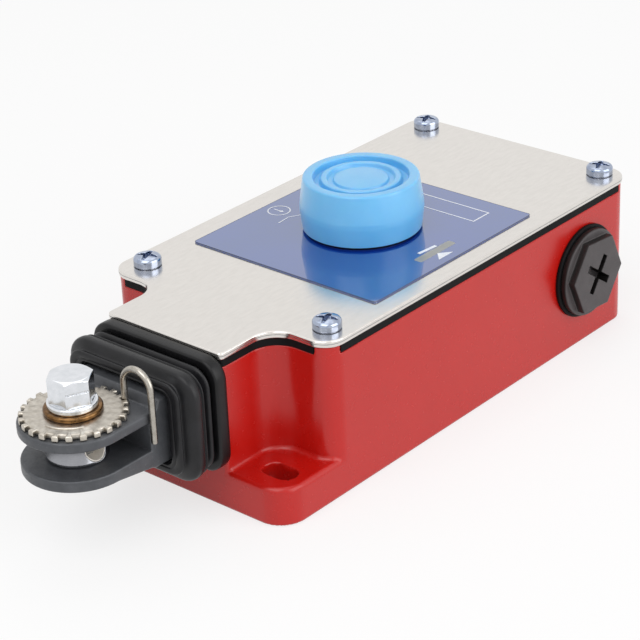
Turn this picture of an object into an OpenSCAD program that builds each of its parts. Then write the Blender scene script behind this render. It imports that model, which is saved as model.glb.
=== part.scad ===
// Rope pull switch: die-cast housing, booted reset button, and a rope fork with a tensioning drum.
// Millimetres. The origin is the centre of the mounting face, +X points away from the rope,
// +Z points up out of the cover.

/* [Housing] */
// Length of the die-cast housing, from the neck's front face to the rear wall
body_l = 160; // [140:1:220]
// Width of the box and of the feet
body_w = 80; // [74:1:110]
// Height of the casting up to the gasket
body_h = 42.8; // [40:0.2:56]
// Thickness of the side and rear walls
wall = 3.5; // [2.5:0.5:4.5]
// Thickness of the floor
floor_t = 4; // [3.5:0.5:5]
// Outer corner radius of the box
box_corner_r = 6; // [3:0.5:8]
// Length of the narrow neck in front of the box
neck_l = 20; // [18:1:26]
// Width of the neck
neck_w = 41; // [39:1:48]
// Radius of the hollow corner between neck and box
neck_fillet_r = 8; // [4:1:9]
// Radius of the neck's two front corners
neck_corner_r = 1.5; // [0.5:0.5:3]
// Thickness of the neck's front wall, which holds the guide bush
front_wall = 5; // [4:0.5:7]
// Thickness of the two mounting feet
foot_h = 11.3; // [8:0.1:13]
// Front corner radius of the feet
foot_corner_r = 8; // [4:0.5:9]
// Width of a fixing slot, for an M6 screw
slot_w = 6.5; // [5.5:0.5:7]
// End-to-end length of a fixing slot
slot_l = 10.5; // [8:0.5:12]
// Distance between the centres of the two fixing slots
slot_span = 61.6; // [60:0.2:62]
// Distance from the neck's front face to the slot centres
slot_inset = 9.2; // [8:0.2:11]
// Core diameter of the two tapped fixing holes under the rear end
rear_tap_d = 5; // [4:0.5:5.5]
// Distance between the two tapped fixing holes
rear_tap_span = 48; // [40:1:52]
// Distance from the rear face to the tapped fixing holes
rear_tap_inset = 18; // [16:1:24]
// Depth of the tapped fixing holes
rear_tap_depth = 8; // [6:0.5:10]

/* [Cover] */
// Thickness of the steel cover plate
cover_t = 2; // [1.5:0.5:4]
// Thickness of the rubber gasket
gasket_t = 2.2; // [1.5:0.1:3]
// How far the cover stands out past the casting
cover_lip = 0.4; // [0:0.1:0.8]
// Length of the printed label
label_l = 71.2; // [60:0.1:80]
// Distance from the housing's middle to the label's middle
label_x = 1.7; // [0:0.1:5]
// Distance from the near side of the box to the label
label_near_inset = 5.5; // [4:0.1:8]
// Distance from the far side of the box to the label
label_far_inset = 7.4; // [4:0.1:8]
// Thickness of the label
label_t = 0.4; // [0.2:0.1:0.8]
// Length of the tension window
window_l = 16; // [10:1:18]
// Width of the tension window
window_w = 2.8; // [2.4:0.2:4]
// Distance from the housing's middle to the window's middle, along its length
window_x = 1; // [0:0.1:4]
// Distance from the near side of the box to the window's middle
window_side_inset = 12.4; // [11:0.1:13]

/* [Screws] */
// Diameter of the cover screws
screw_d = 4; // [3:0.5:5]
// Diameter of a cover screw's head
head_d = 8; // [7:0.5:9]
// Height of a cover screw's head
head_h = 3.3; // [2:0.1:3.8]
// Length of a cover screw under its head
screw_l = 16; // [10:1:20]
// Distance from the box's side to the cover screws
screw_side_inset = 6.9; // [6:0.1:8]
// Distance from the box's front wall to the front cover screws
screw_front_inset = 7.8; // [6:0.1:9]
// Distance from the rear face to the rear cover screws
screw_rear_inset = 5.4; // [5:0.1:8]
// Radius of the post that carries a cover screw
post_r = 6; // [5.5:0.5:6.5]
// Width of the gasket where it runs around a post
gasket_land = 2.2; // [1.5:0.1:3]
// Side of the square land at each corner of the box, which takes the gasket's place
corner_land = 5.2; // [4:0.1:6]

/* [Cable entries] */
// Core diameter of an M20 cable entry
entry_d = 18.4; // [16:0.2:20]
// Height of the entries above the mounting face
entry_z = 23.7; // [20:0.1:25]
// Distance from the rear face to the two side entries
side_entry_inset = 23.5; // [22:0.5:26]
// Total wall thickness at an entry, boss included
entry_t = 7; // [5:0.5:8]
// Wall of the boss around an entry
entry_boss_w = 3; // [2:0.5:4]
// Flange diameter of a blanking plug
plug_flange_d = 27; // [24:0.5:28]
// Flange thickness of a blanking plug
plug_flange_t = 2; // [1:0.5:3]
// Width across flats of a blanking plug
plug_hex_af = 21.6; // [18:0.2:23]
// Height of a blanking plug's hexagon
plug_hex_h = 2.4; // [2:0.2:5]
// Length of each arm of a plug's crossed slots, from end to end
plug_slot_l = 12.4; // [10:0.2:14]
// Width of a plug's slots
plug_slot_w = 2.2; // [1.6:0.2:3]
// Depth of a plug's slots
plug_slot_depth = 2.8; // [1.6:0.2:3]
// Diameter of a plug's seal
seal_d = 28.8; // [27:0.2:30]
// Thickness of a plug's seal
seal_t = 1.2; // [0.8:0.2:2]

/* [Rope fork] */
// Height of the pull axis above the mounting face
pull_z = 30; // [29.5:0.1:30.5]
// Distance from the neck's front face to the drum's axis
fork_reach = 33.7; // [31:0.1:38]
// Radius of the fork's round ends
ear_r = 14.8; // [14.2:0.1:15.6]
// Height of the rope gap between the two ears
rope_gap = 8.1; // [7:0.1:9]
// Thickness of the upper ear
upper_ear_t = 2.9; // [2.4:0.1:3.6]
// Thickness of the lower ear
lower_ear_t = 3.4; // [2.8:0.1:4]
// Height of the fork's block
block_h = 19.2; // [18.5:0.1:21]
// Distance from the neck's front face to the fork block's front end
block_reach = 21.5; // [20.6:0.1:22.6]
// Distance from the neck's front face to the fork block's rear end
block_back = 8; // [6:0.5:10]
// How far the rope can pull the fork out
pull_travel = 12; // [8:1:12]

/* [Tensioning drum] */
// Diameter of the spindle in the ears
spindle_d = 10; // [8:0.5:11]
// Diameter of the drum's two rims
drum_d = 16.6; // [13:0.1:17]
// Diameter of the drum's dished waist
drum_waist_d = 15.4; // [11:0.1:16]
// Diameter of the rope hole across the drum
rope_hole_d = 6.2; // [4:0.1:6.4]
// Outer diameter of the toothed wheel
wheel_d = 28.4; // [26:0.2:28.6]
// Thickness of the toothed wheel
wheel_t = 1.7; // [1.2:0.1:2]
// Number of teeth on the wheel
teeth = 24; // [12:12:24]
// Depth of a tooth gap
tooth_depth = 1.9; // [1.6:0.1:2.2]
// Diameter of the bronze washer
washer_d = 15.6; // [14:0.2:17]
// Thickness of the bronze washer
washer_t = 1.5; // [1:0.1:2]
// Width across flats of the spindle's hexagon
hex_af = 11; // [10:0.5:12]
// Height of the spindle's hexagon
hex_h = 7.6; // [5:0.1:9]
// Diameter of the collar under the hexagon
collar_d = 14; // [13:0.2:15]
// Thickness of the collar under the hexagon
collar_t = 1.5; // [1:0.1:2]
// Diameter of the clip's wire
wire_d = 1.8; // [1.2:0.1:1.9]
// Gap between the clip's outer leg and the fork's side
clip_gap = 0.1; // [0.1:0.1:0.6]
// Height of the clip's bow above the mounting face
clip_top_z = 49.3; // [46:0.1:54]
// Height of the clip's free end above the mounting face
clip_end_z = 28.3; // [26:0.1:32]

/* [Bellows] */
// Width of the black frame that holds the bellows
frame_w = 45.6; // [43:0.2:47]
// Height of the black frame that holds the bellows
frame_h = 33.4; // [32:0.2:33.8]
// Thickness of the black frame
frame_t = 4.2; // [3:0.1:5]
// Corner radius of the frame and the folds
fold_corner_r = 6; // [4:0.5:7]
// Thickness of the rubber at a fold
rubber_t = 1.3; // [1:0.1:2]

/* [Reset button] */
// Distance from the housing's middle to the button's axis
button_x = 2.5; // [1:0.5:5]
// Largest diameter of the rubber boot
boot_d = 36; // [34:0.5:38]
// Height of the boot above the cover
boot_h = 16.6; // [15.5:0.1:20]
// Thickness of the boot's top
boot_top_t = 2; // [1.5:0.1:2.2]
// Gap between the boot's skirt and the cover
skirt_gap = 1.2; // [0.5:0.1:1.4]
// Thread diameter of the button's barrel
barrel_d = 22; // [20:0.5:24]
// Wall thickness of the button's barrel
barrel_wall = 3; // [2.5:0.25:3.5]
// Flange thickness of the button's barrel
barrel_flange_t = 2; // [1.5:0.1:3]
// Thickness of the barrel's lock nut
barrel_nut_t = 3; // [2:0.5:3.5]
// Diameter of the reset stem
stem_d = 5; // [4:0.5:6]
// How far the reset button moves
reset_travel = 3.5; // [2.5:0.5:3.5]

/* [Mechanism] */
// Diameter of the pull rod in its guide bush
rod_d = 8; // [7:0.5:9]
// Diameter of the pull rod behind the spring
rod_end_d = 6; // [5:0.5:6]
// Outer diameter of the guide bush
bush_d = 14; // [12:0.5:16]
// Length of the main spring at rest
spring_l = 30; // [26:1:34]
// Mean diameter of the main spring's coil
spring_d = 15; // [13:0.5:18]
// Wire diameter of the main spring
spring_wire_d = 2; // [1.4:0.1:2.4]
// Turns of the main spring
spring_turns = 7; // [4:1:8]
// Width of the cam carriage
cam_w = 20; // [19:0.5:21]
// Length of the cam carriage
cam_l = 16; // [16:0.5:19]
// Height of a contact block
block_top_h = 11.5; // [10:0.5:11.5]
// Width of a contact block
contact_w = 13; // [12:0.5:13]
// Length of a contact block
contact_l = 34; // [30:1:40]
// Diameter of a contact plunger
plunger_d = 3; // [2.5:0.25:4]
// How far a contact plunger goes in for each millimetre of pull
cam_slope = 0.25; // [0.15:0.05:0.25]
// Distance from the button's axis to the latch's pivot pin
latch_arm = 11; // [10:0.5:13]
// Diameter of the latch's pivot pin
latch_pin_d = 3; // [2:0.5:3]
// Thickness of the latch and its bracket
latch_t = 1.5; // [1:0.1:2]

/* [Hidden] */
$fn = 48;

// Clearances
running = 0.05;
soft_gap = 0.3;
screw_gap = 0.2;

// Thickness of a retaining ring
circlip_t = 1.2;
// Longer than the whole part
far = 300;

// Planes of the housing
front_x = -body_l / 2;
rear_x = body_l / 2;
box_x = front_x + neck_l;
post_z = body_h + gasket_t;
cover_z = post_z + cover_t;
label_w = body_w - label_near_inset - label_far_inset;
label_y = (label_near_inset - label_far_inset) / 2;
window_y = body_w / 2 - window_side_inset;
screw_y = body_w / 2 - screw_side_inset;
screw_xs = [box_x + screw_front_inset, rear_x - screw_rear_inset];
slot_x = front_x + slot_inset;
tap_x = rear_x - rear_tap_inset;
side_entry_x = rear_x - side_entry_inset;
entry_boss_r = entry_d / 2 + entry_boss_w;

// Planes of the rope fork
drum_x = front_x - fork_reach;
gap_z = pull_z + 0.15;
gap_low_z = gap_z - rope_gap / 2;
gap_high_z = gap_z + rope_gap / 2;
ear_top_z = gap_high_z + upper_ear_t;
ear_low_z = gap_low_z - lower_ear_t;
block_front_x = front_x - block_reach;
block_rear_x = front_x - block_back;
wheel_z = ear_top_z + running;
wheel_top_z = wheel_z + wheel_t;
collar_z = wheel_top_z + washer_t;
hex_z = collar_z + collar_t;
spindle_circlip_z = ear_low_z - 0.1 - circlip_t;
spindle_circlip_r = spindle_d / 2 + 2.2;
spindle_low_z = spindle_circlip_z - 1.2;
clip_angle = -26;
clip_r = wheel_d / 2 - 0.3;
clip_x = drum_x + clip_r * cos(clip_angle);
clip_inner_y = clip_r * sin(clip_angle);
clip_outer_y = -ear_r - clip_gap - wire_d / 2;
clip_span = clip_inner_y - clip_outer_y;
clip_seat_z = gap_high_z + 0.7;
block_low_z = pull_z - block_h / 2;
block_top_z = pull_z + block_h / 2;
fork_pin_r = 1.5;
rod_socket = 8;

// Planes of the bellows
frame_x = front_x - cover_lip;
frame_z = pull_z - 0.4;
frame_rim = 4;
core_w = frame_w - 2 * frame_rim - 2 * soft_gap;
core_h = frame_h - 2 * frame_rim - 2 * soft_gap;
lip_x = block_front_x + 4.9;
lip_t = 1.4;
lip_inset = 3;

// Planes of the reset button
barrel_r = barrel_d / 2;
barrel_bore_r = barrel_r - barrel_wall;
barrel_flange_r = boot_d / 2 - rubber_t - soft_gap - 0.3;
barrel_low_z = post_z - barrel_nut_t;
cap_top_z = cover_z + boot_h - boot_top_t - soft_gap;
cap_t = 2.2;
cap_low_z = cap_top_z - cap_t;
cap_skirt_l = 8.6;
cap_skirt_w = 1.5;
barrel_top_z = cap_low_z - reset_travel - 0.3;
spring_seat_z = barrel_low_z + 1.5;
barrel_nut_af = barrel_d + 2;

// Planes of the latch, the cam and the contacts
latch_x = button_x + latch_arm;
latch_top_z = barrel_low_z - 1.5;
latch_pin_z = latch_top_z - 3.5;
stem_low_z = latch_top_z + soft_gap;
rod_end_r = rod_end_d / 2;
cam_top_z = latch_pin_z - latch_pin_d / 2 - soft_gap;
cam_front_x = latch_x + 6;
cam_rear_x = cam_front_x + cam_l;
plunger_x = cam_front_x + plunger_d / 2;
plunger_y = 0.5 + contact_w / 2;
cam_low_z = floor_t + block_top_h + 0.8 + cam_slope * cam_l;
plunger_top_z = cam_low_z - cam_slope * plunger_d - soft_gap;
plunger_low_z = floor_t + 5;
plunger_stroke = cam_slope * pull_travel;
contact_x = plunger_x - 6;
contact_screw_r = 1.25;
contact_head_d = 4.8;
contact_screw_xs = [contact_x - contact_l / 2 + 3, contact_x + contact_l / 2 - 3];
terminal_screw_r = 1.5;
terminal_head_d = 4.4;
terminal_xs = [contact_x - 9, contact_x + 9];
recess_h = 2;
contact_top_z = floor_t + block_top_h;
latch_ear_y = cam_w / 2 + 0.6;
latch_ear_r = latch_pin_d / 2 + 1.7;
latch_front_x = button_x - 2.5;
latch_nose_x = latch_x + 10;
bracket_y = 0.5 + contact_w + 1.2;
bracket_foot = 8;
bracket_l = 10;
bracket_screw_r = 1.5;
bracket_screw_y = bracket_y + latch_t + bracket_foot / 2;
bush_flange_r = bush_d / 2 + 2;
bush_flange_t = 2;
spring_x = front_x + front_wall + bush_flange_t;
washer_x = spring_x + spring_l + 0.1;
spring_washer_t = 1.5;
rod_step_x = washer_x + spring_washer_t + circlip_t + 3;
rod_nut_af = 8;
rod_nut_l = 4;
flag_t = 1.2;
flag_x = cam_rear_x;
flag_w = 3;
flag_top_z = post_z - 0.6;
flag_front_x = window_x - window_l / 2 + 1;
rod_rear_x = cam_rear_x + flag_t + rod_nut_l + 2.5;

// Earth screw
earth_x = tap_x;
earth_boss_z = floor_t / 2 + 3.5;
earth_screw_r = 2;
screw_turn = 20;

// Basic shapes
module cyl_x(x0, x1, r) {
    translate([x0, 0, 0]) rotate([0, 90, 0]) cylinder(r = r, h = x1 - x0);
}

module cyl_y(y0, y1, r) {
    translate([0, y1, 0]) rotate([90, 0, 0]) cylinder(r = r, h = y1 - y0);
}

module cyl_z(z0, z1, r) {
    translate([0, 0, z0]) cylinder(r = r, h = z1 - z0);
}

// Extrudes an outline drawn in Y and Z along X
module along_x(x0, x1) {
    translate([x0, 0, 0]) rotate([90, 0, 90]) linear_extrude(x1 - x0) children();
}

// Extrudes an outline drawn in X and Z along Y
module along_y(y0, y1) {
    translate([0, y1, 0]) rotate([90, 0, 0]) linear_extrude(y1 - y0) children();
}

module box_between(low, high) {
    translate(low) cube(high - low);
}

module rounded_rect(w, h, r) {
    square([w - 2 * r, h], center = true);
    square([w, h - 2 * r], center = true);
    for (sx = [-1, 1], sy = [-1, 1])
        translate([sx * (w / 2 - r), sy * (h / 2 - r)]) circle(r);
}

module slot_2d(l, w) {
    square([l - w, w], center = true);
    for (s = [-1, 1])
        translate([s * (l - w) / 2, 0]) circle(w / 2);
}

// The closed skin of a wire, from the points of its rings
module wire_skin(points, sides) {
    rings = len(points) / sides;
    skin = [for (i = [0:rings - 2], j = [0:sides - 1])
        let (k = (j + 1) % sides)
        [i * sides + j, (i + 1) * sides + j, (i + 1) * sides + k, i * sides + k]];
    first = [for (j = [0:sides - 1]) j];
    last = [for (j = [sides - 1:-1:0]) (rings - 1) * sides + j];
    polyhedron(points = points, faces = concat([first, last], skin), convexity = 8);
}

// A round-wire coil around Z, from z = 0 to z = height
module coil(height, mean_r, wire_r, turns) {
    sides = 8;
    per_turn = 18;
    steps = turns * per_turn;
    rise = height - 2 * wire_r;
    wire_skin([for (i = [0:steps], j = [0:sides - 1])
        let (a = 360 * i / per_turn, b = 360 * j / sides, r = mean_r + wire_r * cos(b))
        [r * cos(a), r * sin(a), wire_r + rise * i / steps + wire_r * sin(b)]], sides);
}

// Housing
module body_outline(grow = 0) {
    box_l = body_l - neck_l;
    half_neck = neck_w / 2 + grow;
    neck_corner = box_x - grow;
    translate([box_x + box_l / 2, 0])
        rounded_rect(box_l + 2 * grow, body_w + 2 * grow, box_corner_r + grow);
    neck_total = neck_l + wall + grow;
    translate([front_x - grow + neck_total / 2, 0])
        rounded_rect(neck_total, 2 * half_neck, neck_corner_r);
    for (s = [-1, 1])
        scale([1, s]) difference() {
            translate([neck_corner - neck_fillet_r, half_neck - 1])
                square([neck_fillet_r + 1, neck_fillet_r + 1]);
            translate([neck_corner - neck_fillet_r, half_neck + neck_fillet_r])
                circle(neck_fillet_r);
        }
}

module cavity_outline() {
    inner_l = body_l - neck_l - 2 * wall;
    translate([box_x + wall + inner_l / 2, 0])
        rounded_rect(inner_l, body_w - 2 * wall, box_corner_r - wall / 2);
    translate([front_x + front_wall, -neck_w / 2 + wall])
        square([neck_l - front_wall + wall + 1, neck_w - 2 * wall]);
}

module foot_outline() {
    rear_l = body_l / 2;
    translate([0, 0]) rounded_rect(body_l, body_w, foot_corner_r);
    translate([rear_x - rear_l / 2, 0]) rounded_rect(rear_l, body_w, box_corner_r);
}

module corner_lands() {
    land_y = (body_w - corner_land) / 2;
    for (x = [box_x + corner_land / 2, rear_x - corner_land / 2], s = [-1, 1])
        translate([x, s * land_y]) square(corner_land, center = true);
}

module at_posts() {
    for (x = screw_xs, s = [-1, 1])
        translate([x, s * screw_y]) children();
}

module housing() {
    color("firebrick") difference() {
        union() {
            difference() {
                union() {
                    linear_extrude(body_h) body_outline();
                    linear_extrude(foot_h) foot_outline();
                }
                translate([0, 0, floor_t]) linear_extrude(far) cavity_outline();
            }
            intersection() {
                linear_extrude(post_z) body_outline();
                union() {
                    linear_extrude(post_z) corner_lands();
                    at_posts() {
                        cylinder(r = post_r, h = post_z);
                        cylinder(r = post_r + gasket_land, h = body_h);
                    }
                }
            }
            for (s = [-1, 1])
                translate([side_entry_x, 0, entry_z]) scale([1, s, 1])
                    cyl_y(body_w / 2 - entry_t, body_w / 2 - wall / 2, entry_boss_r);
            translate([0, 0, entry_z]) cyl_x(rear_x - entry_t, rear_x - wall / 2, entry_boss_r);
            for (s = [-1, 1])
                translate([tap_x, s * rear_tap_span / 2, floor_t / 2])
                    cylinder(r = rear_tap_d / 2 + 2.5, h = rear_tap_depth);
            translate([earth_x, 0, floor_t / 2]) cylinder(r = 5, h = earth_boss_z - floor_t / 2);
        }
        for (s = [-1, 1])
            translate([slot_x, s * slot_span / 2, -1]) linear_extrude(foot_h + 2)
                rotate(90) slot_2d(slot_l, slot_w);
        for (s = [-1, 1])
            translate([tap_x, s * rear_tap_span / 2, -1])
                cylinder(r = rear_tap_d / 2, h = rear_tap_depth + 1);
        at_posts() cyl_z(cover_z - screw_l, post_z + 1, screw_d / 2);
        for (s = [-1, 1])
            translate([side_entry_x, 0, entry_z]) scale([1, s, 1])
                cyl_y(body_w / 2 - entry_t - 1, body_w / 2 + 1, entry_d / 2);
        translate([0, 0, entry_z]) cyl_x(rear_x - entry_t - 1, rear_x + 1, entry_d / 2);
        translate([0, 0, pull_z]) cyl_x(front_x - 1, front_x + front_wall + 1, bush_d / 2);
        at_bracket_screws() cyl_z(1, floor_t + 1, bracket_screw_r);
        at_contact_screws() cyl_z(1, floor_t + 1, contact_screw_r);
        translate([earth_x, 0, 1]) cylinder(r = earth_screw_r, h = far / 10);
    }
}

// Cover
module cover_gasket() {
    color("black") translate([0, 0, body_h]) linear_extrude(gasket_t) intersection() {
        body_outline();
        difference() {
            union() {
                difference() {
                    body_outline();
                    cavity_outline();
                }
                at_posts() circle(post_r + gasket_land);
            }
            at_posts() circle(post_r);
            corner_lands();
        }
    }
}

module window_cut(grow = 0) {
    translate([window_x, -window_y]) rounded_rect(window_l + 2 * grow, window_w + 2 * grow, 0.6);
}

module cover_plate() {
    color("gainsboro") translate([0, 0, post_z]) linear_extrude(cover_t) difference() {
        body_outline(cover_lip);
        at_posts() circle(screw_d / 2 + screw_gap);
        translate([button_x, 0]) circle(barrel_r + screw_gap);
        window_cut();
    }
}

module pan_head(d, h) {
    rise = h * 0.4;
    dome_r = (d * d / 4 + rise * rise) / (2 * rise);
    rotate_extrude() intersection() {
        translate([0, h - dome_r]) circle(dome_r, $fn = 120);
        square([d / 2, h]);
    }
}

module cross_recess(d, depth) {
    for (a = [0, 90])
        rotate(a) translate([-d * 0.32, -d * 0.07, -depth]) cube([d * 0.64, d * 0.14, depth + 1]);
}

// Screws with a pan head that sits at z = 0
module pan_screw(d, l, big_d, big_h) {
    difference() {
        union() {
            pan_head(big_d, big_h);
            cyl_z(-l, 0, d / 2);
        }
        translate([0, 0, big_h]) cross_recess(big_d, big_h * 0.5);
    }
}

module cover_screws() {
    color("silver") translate([0, 0, cover_z]) at_posts() rotate(screw_turn)
        pan_screw(screw_d, screw_l, head_d, head_h);
}

module label() {
    color("royalblue") translate([0, 0, cover_z]) linear_extrude(label_t) difference() {
        translate([label_x, label_y]) rounded_rect(label_l, label_w, 1);
        translate([button_x, 0]) circle(barrel_flange_r + 0.2);
        window_cut();
    }
}

module tension_window() {
    color("lightgray", 0.6) translate([0, 0, post_z]) linear_extrude(cover_t + label_t)
        window_cut();
}

// Cable entries
module at_side_entries() {
    for (s = [-1, 1])
        translate([side_entry_x, 0, entry_z]) scale([1, s, 1]) children();
}

module blanking_plugs() {
    flange_y = body_w / 2 + seal_t;
    hex_y = flange_y + plug_flange_t;
    face_y = hex_y + plug_hex_h;
    color("dimgray") at_side_entries() difference() {
        union() {
            cyl_y(body_w / 2 - entry_t, flange_y, entry_d / 2);
            cyl_y(flange_y, hex_y, plug_flange_d / 2);
            translate([0, face_y, 0]) rotate([90, 0, 0])
                cylinder(r = plug_hex_af / 2 / cos(30), h = plug_hex_h + 0.5, $fn = 6);
        }
        for (a = [35, 125])
            translate([0, face_y, 0]) rotate([0, a, 0])
                cube([plug_slot_l, 2 * plug_slot_depth, plug_slot_w], center = true);
        cyl_y(0, flange_y - 1, entry_d / 2 - 2);
    }
}

module plug_seals() {
    color("black") at_side_entries() difference() {
        cyl_y(body_w / 2, body_w / 2 + seal_t, seal_d / 2);
        cyl_y(0, far, entry_d / 2);
    }
}

// Bellows
module bellows_frame() {
    color("darkslategray") translate([0, 0, frame_z]) along_x(frame_x - frame_t, frame_x) difference() {
        rounded_rect(frame_w, frame_h, fold_corner_r);
        rounded_rect(frame_w - 2 * frame_rim, frame_h - 2 * frame_rim, fold_corner_r - frame_rim / 2);
    }
}

module fold(offset, thickness, inset) {
    x = frame_x - frame_t - offset;
    along_x(x - thickness, x)
        rounded_rect(frame_w - 2 * inset, frame_h - 2 * inset, fold_corner_r);
}

module bellows() {
    hollow_w = core_w - 2 * rubber_t;
    hollow_h = core_h - 2 * rubber_t;
    lip_w = 2 * ear_r + 2 * soft_gap;
    lip_h = block_h + 2 * soft_gap;
    color("dimgray") difference() {
        union() {
            translate([0, 0, frame_z]) {
                along_x(lip_x + lip_t / 2, frame_x) rounded_rect(core_w, core_h, fold_corner_r - 2);
                fold(0.8, 1.4, 1.4);
                fold(4.3, 4.6, 1);
                fold(4.3, 0.6, 0.2);
                fold(5.5, 3.3, -0.4);
                along_x(lip_x, lip_x + lip_t) rounded_rect(
                    frame_w - 2 * lip_inset, frame_h - 2 * lip_inset, fold_corner_r);
            }
            translate([0, 0, pull_z]) along_x(lip_x, lip_x + lip_t)
                rounded_rect(lip_w + 2 * rubber_t, lip_h + 2 * rubber_t, 2);
        }
        translate([0, 0, frame_z]) along_x(lip_x + lip_t, frame_x + 1)
            rounded_rect(hollow_w, hollow_h, 2);
        translate([0, 0, pull_z]) along_x(lip_x - 1, frame_x) square([lip_w, lip_h], center = true);
    }
}

// Pull rod and its spring
module guide_bush() {
    color("khaki") translate([0, 0, pull_z]) difference() {
        union() {
            cyl_x(front_x, front_x + front_wall, bush_d / 2);
            cyl_x(front_x + front_wall, spring_x, bush_flange_r);
        }
        cyl_x(front_x - 1, spring_x + 1, rod_d / 2 + running);
    }
}

module main_spring() {
    color("lightsteelblue") translate([spring_x, 0, pull_z]) rotate([0, 90, 0])
        coil(spring_l, spring_d / 2, spring_wire_d / 2, spring_turns);
}

module pull_rod() {
    color("silver") translate([0, 0, pull_z]) difference() {
        union() {
            cyl_x(block_rear_x - rod_socket, rod_step_x, rod_d / 2);
            cyl_x(rod_step_x, rod_rear_x, rod_end_r);
        }
        translate([block_rear_x - rod_socket / 2, 0, 0]) cyl_z(-far / 2, far / 2, fork_pin_r);
        translate([washer_x + spring_washer_t, 0, 0]) rotate([0, 90, 0]) difference() {
            cylinder(r = rod_d, h = circlip_t);
            cylinder(r = rod_d / 2 - 0.5, h = circlip_t);
        }
    }
}

module spring_washer() {
    color("silver") translate([0, 0, pull_z]) difference() {
        cyl_x(washer_x, washer_x + spring_washer_t, spring_d / 2 + 2.5);
        cyl_x(washer_x - 1, washer_x + spring_washer_t + 1, rod_d / 2);
    }
}

// An open retaining ring around Z
module circlip(inner_r, outer_r) {
    difference() {
        cylinder(r = outer_r, h = circlip_t);
        translate([0, 0, -1]) cylinder(r = inner_r, h = circlip_t + 2);
        translate([-inner_r * 0.6, 0, -1]) cube([inner_r * 1.2, outer_r + 1, circlip_t + 2]);
    }
}

module rod_circlip() {
    color("dimgray") translate([washer_x + spring_washer_t, 0, pull_z]) rotate([0, 90, 0])
        circlip(rod_d / 2 - 0.5, rod_d / 2 + 2);
}

module hex_nut(af, h, hole_r) {
    difference() {
        cylinder(r = af / 2 / cos(30), h = h, $fn = 6);
        translate([0, 0, -1]) cylinder(r = hole_r, h = h + 2);
    }
}

module rod_nuts() {
    color("silver") for (x = [cam_front_x - rod_nut_l, flag_x + flag_t])
        translate([x, 0, pull_z]) rotate([0, 90, 0]) rotate(90)
            hex_nut(rod_nut_af, rod_nut_l, rod_end_r);
}

module cam_carriage() {
    cam_rear_z = cam_low_z - cam_slope * cam_l;
    color("ivory") difference() {
        along_y(-cam_w / 2, cam_w / 2) polygon([
            [cam_front_x, cam_low_z],
            [cam_rear_x, cam_rear_z],
            [cam_rear_x, cam_top_z],
            [cam_front_x, cam_top_z]
        ]);
        translate([0, 0, pull_z]) cyl_x(cam_front_x - 1, cam_rear_x + 1, rod_end_r);
    }
}

module tension_flag() {
    low = pull_z - 4;
    high = pull_z + 3.9;
    outer_y = -window_y - flag_w / 2;
    inner_y = -window_y + flag_w / 2;
    color("white") difference() {
        union() {
            box_between([flag_x, outer_y, low], [flag_x + flag_t, 5, high]);
            box_between([flag_x, outer_y, low], [flag_x + flag_t, inner_y, flag_top_z]);
            box_between([flag_front_x, outer_y, flag_top_z - 1], [flag_x + flag_t, inner_y, flag_top_z]);
        }
        translate([0, 0, pull_z]) cyl_x(flag_x - 1, flag_x + flag_t + 1, rod_end_r);
    }
}

// Fork
module fork_side() {
    ramp_x = drum_x + wheel_d / 2 + 0.4;
    polygon([
        [drum_x - ear_r, ear_low_z],
        [drum_x, ear_low_z],
        [block_front_x, block_low_z + 0.5],
        [block_front_x + 1, block_low_z],
        [block_rear_x, block_low_z],
        [block_rear_x, block_top_z],
        [ramp_x + 1.2, block_top_z],
        [ramp_x, ear_top_z],
        [drum_x - ear_r, ear_top_z]
    ]);
}

module fork() {
    color("dimgray") difference() {
        intersection() {
            along_y(-ear_r, ear_r) fork_side();
            union() {
                translate([drum_x, 0, 0]) cylinder(r = ear_r, h = far);
                box_between([drum_x, -ear_r, 0], [block_rear_x, ear_r, far]);
            }
        }
        box_between([drum_x - far, -far, gap_low_z], [block_front_x, far, gap_high_z]);
        translate([drum_x, 0, 0]) {
            cyl_z(0, far, spindle_d / 2 + running);
            cyl_z(0, ear_low_z, spindle_circlip_r + 0.8);
        }
        translate([clip_x, clip_inner_y, 0]) cyl_z(clip_seat_z, far, wire_d / 2 + 0.1);
        translate([0, 0, pull_z]) cyl_x(block_rear_x - rod_socket, block_rear_x + 1, rod_d / 2);
        translate([block_rear_x - rod_socket / 2, 0, 0]) cyl_z(0, far, fork_pin_r);
    }
}

module fork_pin() {
    color("silver") translate([block_rear_x - rod_socket / 2, 0, 0])
        cyl_z(block_low_z + 0.5, block_top_z - 0.5, fork_pin_r);
}

// Tensioning spindle, its wheel and its clip
module dished_drum() {
    h = rope_gap - 0.4;
    dish = (drum_d - drum_waist_d) / 2;
    chord = h - 1.4;
    dish_r = (chord * chord / 4 + dish * dish) / (2 * dish);
    translate([0, 0, gap_low_z + 0.2]) rotate_extrude() difference() {
        square([drum_d / 2, h]);
        translate([drum_waist_d / 2 + dish_r, h / 2]) circle(dish_r);
    }
}

module spindle() {
    tip_r = hex_af / 2 / cos(30);
    color("gainsboro") translate([drum_x, 0, 0]) difference() {
        union() {
            cyl_z(spindle_low_z, collar_z, spindle_d / 2);
            dished_drum();
            cyl_z(collar_z, hex_z, collar_d / 2);
            translate([0, 0, hex_z]) intersection() {
                rotate(30) cylinder(r = tip_r, h = hex_h, $fn = 6);
                cylinder(r1 = tip_r + hex_h - 1, r2 = tip_r - 1, h = hex_h);
            }
        }
        translate([0, 0, gap_z]) rotate([90, 0, 0])
            cylinder(r = rope_hole_d / 2, h = far, center = true);
        translate([0, 0, hex_z + hex_h * 0.55]) difference() {
            cylinder(r = tip_r + 1, h = 0.4);
            cylinder(r = hex_af / 2 - 0.3, h = 0.4);
        }
        translate([0, 0, spindle_circlip_z]) difference() {
            cylinder(r = spindle_d, h = circlip_t);
            cylinder(r = spindle_d / 2 - 0.5, h = circlip_t);
        }
    }
}

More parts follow.
